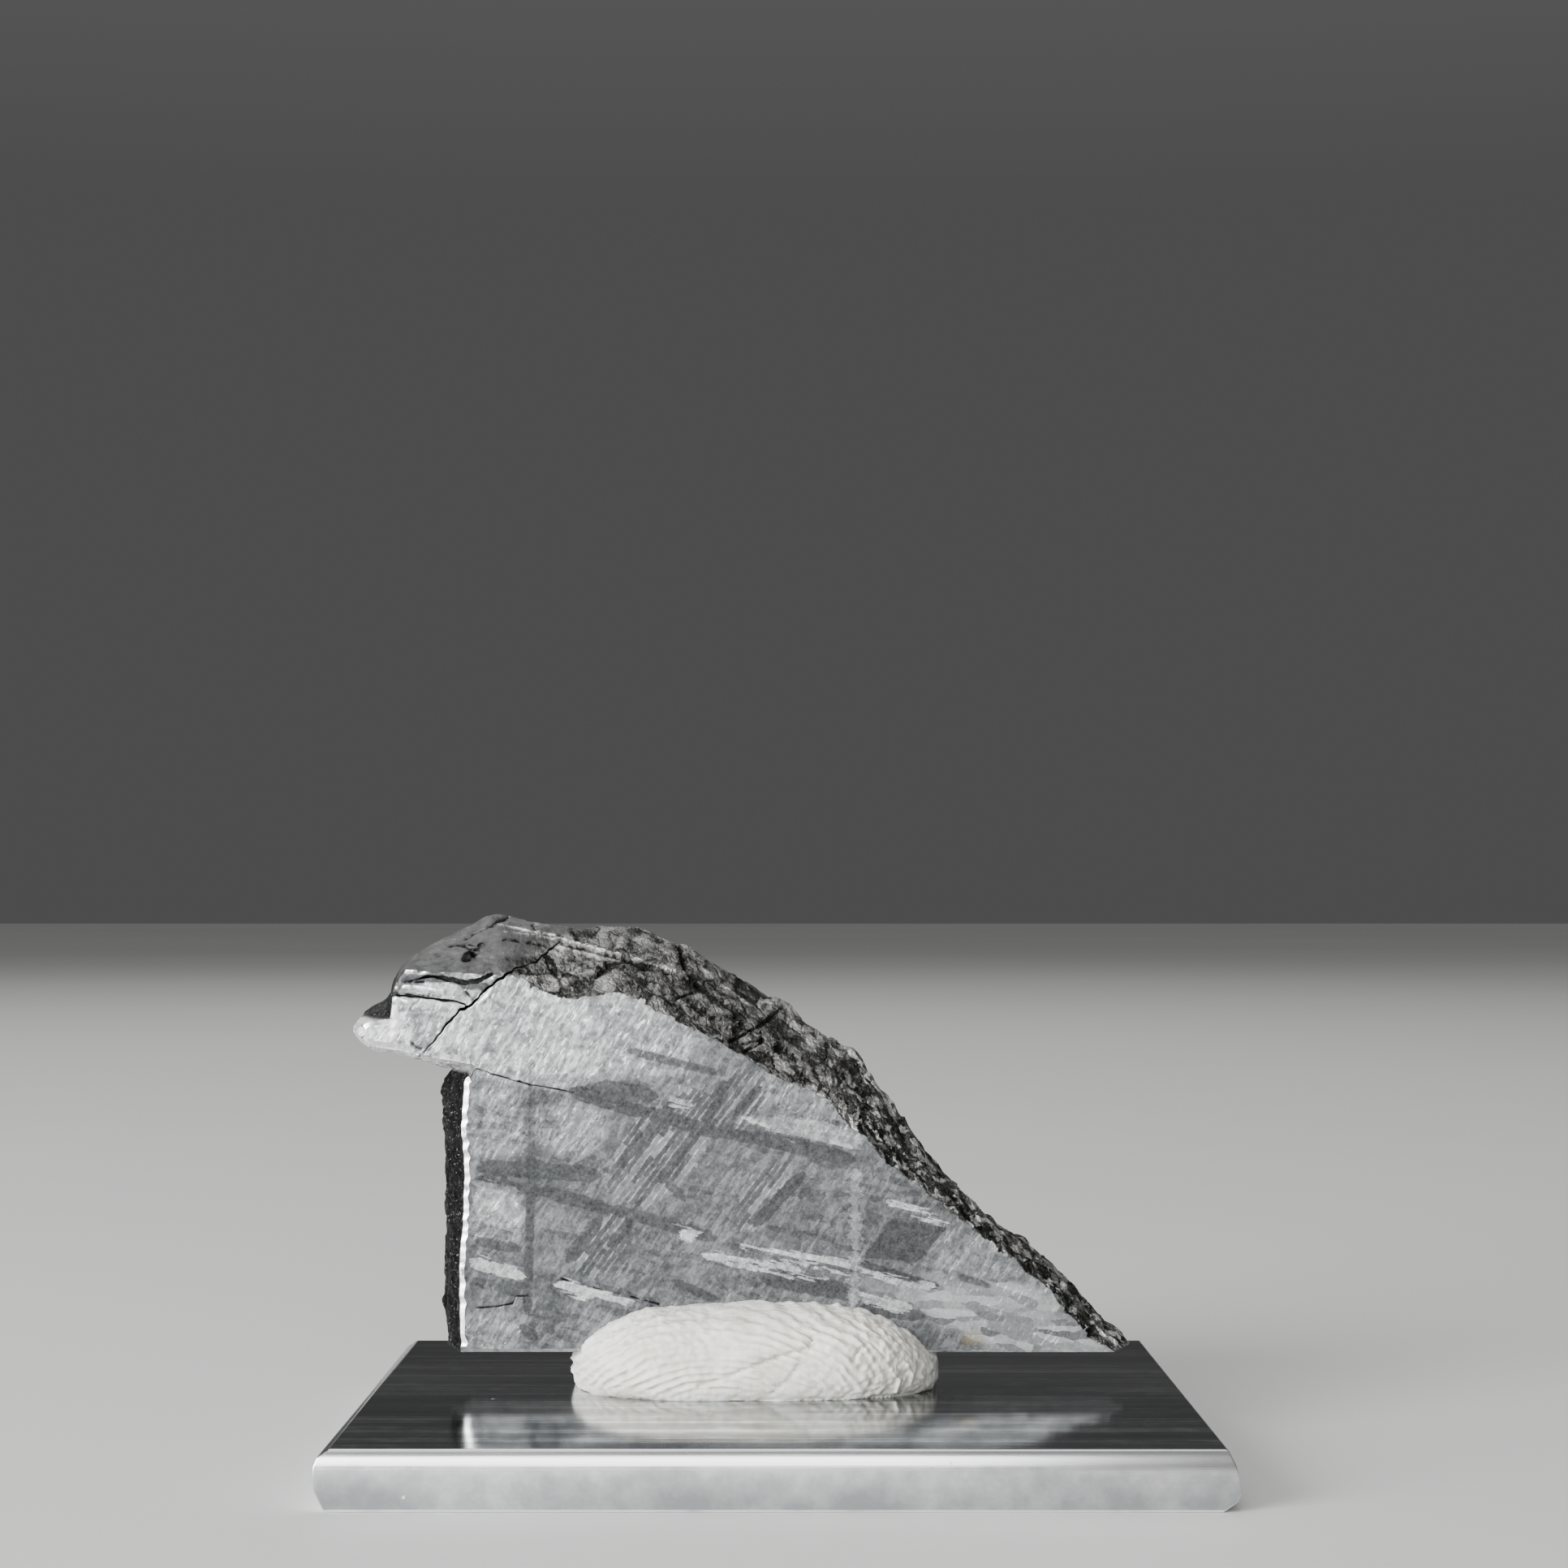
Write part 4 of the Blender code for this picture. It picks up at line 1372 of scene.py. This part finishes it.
# A fingerprint's ridges, broken into beads and bending round one point in the picture.
def ridgesAt(place, column, row, pebbled, lumpy):
    column0, row0 = puttyShape["ridgeCentre"]
    bend = noiseSum(place, *puttyShape["ridgeBend"])
    turns = math.hypot((column - column0) * puttyShape["ridgeSqueeze"],
                       row - row0) / puttyShape["ridgePitch"]
    ridge = math.sin(math.tau * (turns + bend * 0.45))
    beads = min(1.2, max(0.15, 0.75 + 1.1 * noise.noise(place / 0.62)))
    return (puttyShape["ridgeHeight"] * ridge * beads * (1 - 0.75 * pebbled)
            * (1 - 0.6 * lumpy) * smoothStep(place.z, 3.3, 4.3)
            * (1.7 - 0.7 * smoothStep(column, 740, 860)))


def sculptPutty(piece, plateTop):
    bm = meshToSculpt(piece)
    column0, row0, halfWidth, halfHeight = puttyShape["pebbled"]
    raised = bm.verts.layers.float.new("raised")
    for vert in bm.verts:
        place = vert.co / mm
        column, row = pictureOf(Vector((vert.co.x, puttyShape["ridgeDepth"] * mm, vert.co.z)))
        pebbled = math.exp(-((column - column0) / halfWidth) ** 2
                           - ((row - row0) / halfHeight) ** 2)
        lumpy = smoothStep(column, *puttyShape["lumpy"])
        ridges = ridgesAt(place, column, row, pebbled, lumpy)
        soft = noiseSum(place, *puttyShape["swelling"])
        pebbles = noiseSum(place, (0.55, 0.045 + 0.035 * pebbled + 0.05 * lumpy), (0.33, 0.052))
        near, _ = noise.voronoi(place / puttyShape["lumpSize"])
        lumps = (near[1] - near[0] - 0.25) * puttyShape["lumpHeight"] * lumpy
        grit = noiseSum(place, (0.24, 0.014 + 0.022 * lumpy))
        # raised is kept for the colour: painted shade in the fingerprint's valleys and painted
        # highlight on its ridges and lumps
        vert[raised] = (ridges + pebbles + lumps + grit) / 0.1
        curl = puttyShape["footCurl"] * max(0.0, 1 + 1.2 * noise.noise(place / 1.3))
        press(vert, (ridges + soft + pebbles + lumps + grit) * mm, plateTop, curl * mm)
    keepSculpted(bm, piece)


def carvePutty(piece, lines, plateTop):
    bm = meshToSculpt(piece)
    tree = BVHTree.FromBMesh(bm)
    for *points, width, height in lines:
        hits = drawnOn(tree, points)
        for vert, away in besideLines(bm, [hits], 2 * width * mm)[0]:
            press(vert, height * mm * math.exp(-(away / (width * mm)) ** 2), plateTop)
    keepSculpted(bm, piece)


def palePutty():
    material, tree, shader = newMaterial("pale putty", 0.0, 0.62, **{
        "Subsurface Weight": 0.12, "Subsurface Scale": 1.2 * mm, "Specular IOR Level": 0.4})
    position = inMillimetres(tree)
    clouds = cloudy(tree, position, 0.45, 3.0, 0.55)
    blotches = cloudy(tree, position, 2.2, 3.0, 0.6)
    # painted shade and highlight: the putty is coloured darker in its valleys and lighter on its
    # ridges
    shade = sumOf(tree, (clouds, 0.6), (blotches, 0.4), (painted(tree, "raised"), 0.16))
    dust = useGroup(tree, dustSpecks, {"Position": position, "Per mm": 1.1, "Inner size": 0.03,
                                       "Outer size": 0.07, "Bare share": -0.2})
    colour = blendColour(tree, times(tree, dust["Speck"], 0.5),
                         ramp(tree, shade, puttyShape["tones"]), puttyShape["dustColour"])
    tree.links.new(smoothRange(tree, blotches, 0.3, 0.7, 0.52, 0.70), shader.inputs["Roughness"])
    dress(tree, shader, colour, cloudy(tree, position, 3.2, 5.0, 0.6), 0.6, 0.1 * mm)
    return material


puttyPiece()


# The plate: flat aluminium bar with filed ends.

plateShape = {
    "easing": 0.14,          # how far the arrises are broken, in mm
    "easingSteps": 3,
    "crownDepth": 1.25,      # the long upper arrises are rubbed rounder
    "crown": 0.40,
    "crownSteps": 9,
    "smoothAngle": math.radians(35),
    # top and side tones are lit and shaded copies of one aluminium: painted shade darkens the
    # top, painted light brightens the sides
    "topTones": ((0.38, (0.16, 0.168, 0.178)), (0.50, (0.27, 0.281, 0.292)),
                 (0.61, (0.74, 0.75, 0.76))),
    "sideTones": ((0.26, (0.44, 0.452, 0.465)), (0.42, (0.66, 0.673, 0.685)),
                  (0.56, (0.98, 0.985, 0.99))),
    "dustColour": (0.95, 0.95, 0.94, 1),
}


def platePiece():
    piece = looseCopy(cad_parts["base_plate"], "brushedPlate")
    editWhole(piece, bpy.ops.mesh.dissolve_limited, angle_limit=math.radians(1))
    roundCrown(piece)
    selectEdges(piece, lambda edge: len(edge.link_faces) == 2
                and edge.calc_face_angle() > math.radians(30))
    bpy.ops.mesh.bevel(offset=plateShape["easing"] * mm, segments=plateShape["easingSteps"],
                       affect="EDGES", clamp_overlap=True)
    bpy.ops.object.mode_set(mode="OBJECT")
    smoothShade(piece, plateShape["smoothAngle"])
    piece.data.materials.append(brushedAluminium())
    finishPiece(piece, "plate_metal", "base_plate")


# The upper arris, front and back, is rubbed round: deep down the side, not far back on top.
def roundCrown(piece):
    _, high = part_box("base_plate")
    depth, crown = plateShape["crownDepth"] * mm, plateShape["crown"] * mm
    for step in range(plateShape["crownSteps"]):
        height = high.z - depth * (1 - step / plateShape["crownSteps"]) ** 1.6
        editWhole(piece, bpy.ops.mesh.bisect, plane_co=(0, 0, height), plane_no=(0, 0, 1),
                  threshold=1e-7)
    for vert in piece.data.vertices:
        back = high.y - abs(vert.co.y)
        if back < crown and vert.co.z > high.z - depth:
            share = min(1.0, (vert.co.z - high.z + depth) / depth)
            pushed = crown * (1 - math.sqrt(1 - share * share))
            vert.co.y = math.copysign(high.y - max(back, pushed), vert.co.y)


def brushedAluminium():
    material, tree, shader = newMaterial("brushed aluminium", 1.0, 0.2)
    position = inMillimetres(tree)
    broad, narrow, hair = (
        cloudy(tree, stretch(tree, position, (along, across, across)), 1.0, detail, 0.6)
        for along, across, detail in ((0.03, 0.7, 3.0), (0.06, 3.5, 3.0), (0.10, 14.0, 2.0)))
    clouds = cloudy(tree, position, 0.16, 3.0, 0.6)
    smudges = cloudy(tree, position, 0.8, 4.0, 0.65)
    facing = put(tree, "ShaderNodeNewGeometry").outputs["True Normal"]
    upward = maths(tree, "ABSOLUTE", axes(tree, facing)["Z"])
    topTone = sumOf(tree, (broad, 0.45), (narrow, 0.35), (smudges, 0.20))
    # painted light: the sides are coloured lighter on the crown's upturned faces and towards the
    # top, darker on the flat upright faces and towards the foot
    paintedSheen = add(tree, smoothRange(tree, upward, 0.0, 0.34, -0.13, 0.16),
                 smoothRange(tree, axes(tree, position)["Z"], 0.2, 2.6, -0.06, 0.12))
    sideTone = sumOf(tree, (clouds, 0.6), (smudges, 0.4), (paintedSheen, 1))
    # upward faces take the darker top tones and the sides the lighter ones: painted shade on the
    # top, painted light on the sides
    base = blendColour(tree, smoothRange(tree, upward, 0.80, 0.99),
                       ramp(tree, sideTone, plateShape["sideTones"]),
                       ramp(tree, topTone, plateShape["topTones"]))
    speck = useGroup(tree, dustSpecks, {"Position": position, "Per mm": 0.33, "Inner size": 0.02,
                                        "Outer size": 0.05, "Bare share": 0.5})["Speck"]
    satin = smoothRange(tree, upward, 0.80, 0.99, 0.17, 0.055)
    tree.links.new(sumOf(tree, (narrow, 0.07), (clouds, 0.06), (satin, 1), (speck, 0.4)),
                   shader.inputs["Roughness"])
    dress(tree, shader, blendColour(tree, speck, base, plateShape["dustColour"]),
          sumOf(tree, (narrow, 0.6), (hair, 0.4)), 0.30, 0.02 * mm)
    return material


platePiece()


# Floor and light.

def plainFloor():
    bpy.ops.mesh.primitive_plane_add(size=6, location=(0, 0, 0))
    floor = bpy.context.object
    floor.name = "paleFloor"
    material, tree, shader = newMaterial("pale floor", 0.0, 0.6)
    shade = cloudy(tree, put(tree, "ShaderNodeTexCoord").outputs["Object"], 3.0, 3.0)
    tree.links.new(ramp(tree, shade, ((0.3, (0.66, 0.66, 0.65)), (0.7, (0.70, 0.70, 0.69)))),
                   shader.inputs["Base Color"])
    floor.data.materials.append(material)


lighting = {
    "lamps": (   # name, place, width and height, power
        ("key", (-0.48, -0.42, 0.20), (0.36, 0.36), 9.5),
        ("front", (-0.10, -0.74, 0.30), (0.58, 0.42), 3.2),
        ("top", (-0.05, -0.05, 0.75), (0.60, 0.60), 0.9),
        ("back", (-0.15, 0.48, 0.70), (0.60, 0.60), 2.6),
    ),
    "aim": (0, 0, 0.014),
    "horizon": (0.080, 0.080, 0.080),
    "overhead": (0.22, 0.22, 0.22),
}


def lamp(name, place, size, power):
    bpy.ops.object.light_add(type="AREA", location=place)
    light = bpy.context.object
    light.name = name + "Light"
    light.data.energy = power
    light.data.shape = "RECTANGLE"
    light.data.size, light.data.size_y = size
    toObject = Vector(lighting["aim"]) - Vector(place)
    light.rotation_euler = toObject.to_track_quat("-Z", "Y").to_euler()


def softWorld():
    world = bpy.data.worlds.new("soft studio")
    world.use_nodes = True
    tree = world.node_tree
    height = axes(tree, put(tree, "ShaderNodeTexCoord").outputs["Generated"])["Z"]
    colours = ramp(tree, height, ((0.22, lighting["horizon"]), (0.75, lighting["overhead"])))
    tree.links.new(colours, tree.nodes["Background"].inputs["Color"])
    bpy.context.scene.world = world


plainFloor()
for row in lighting["lamps"]:
    lamp(*row)
softWorld()
print("stage: floor and light")
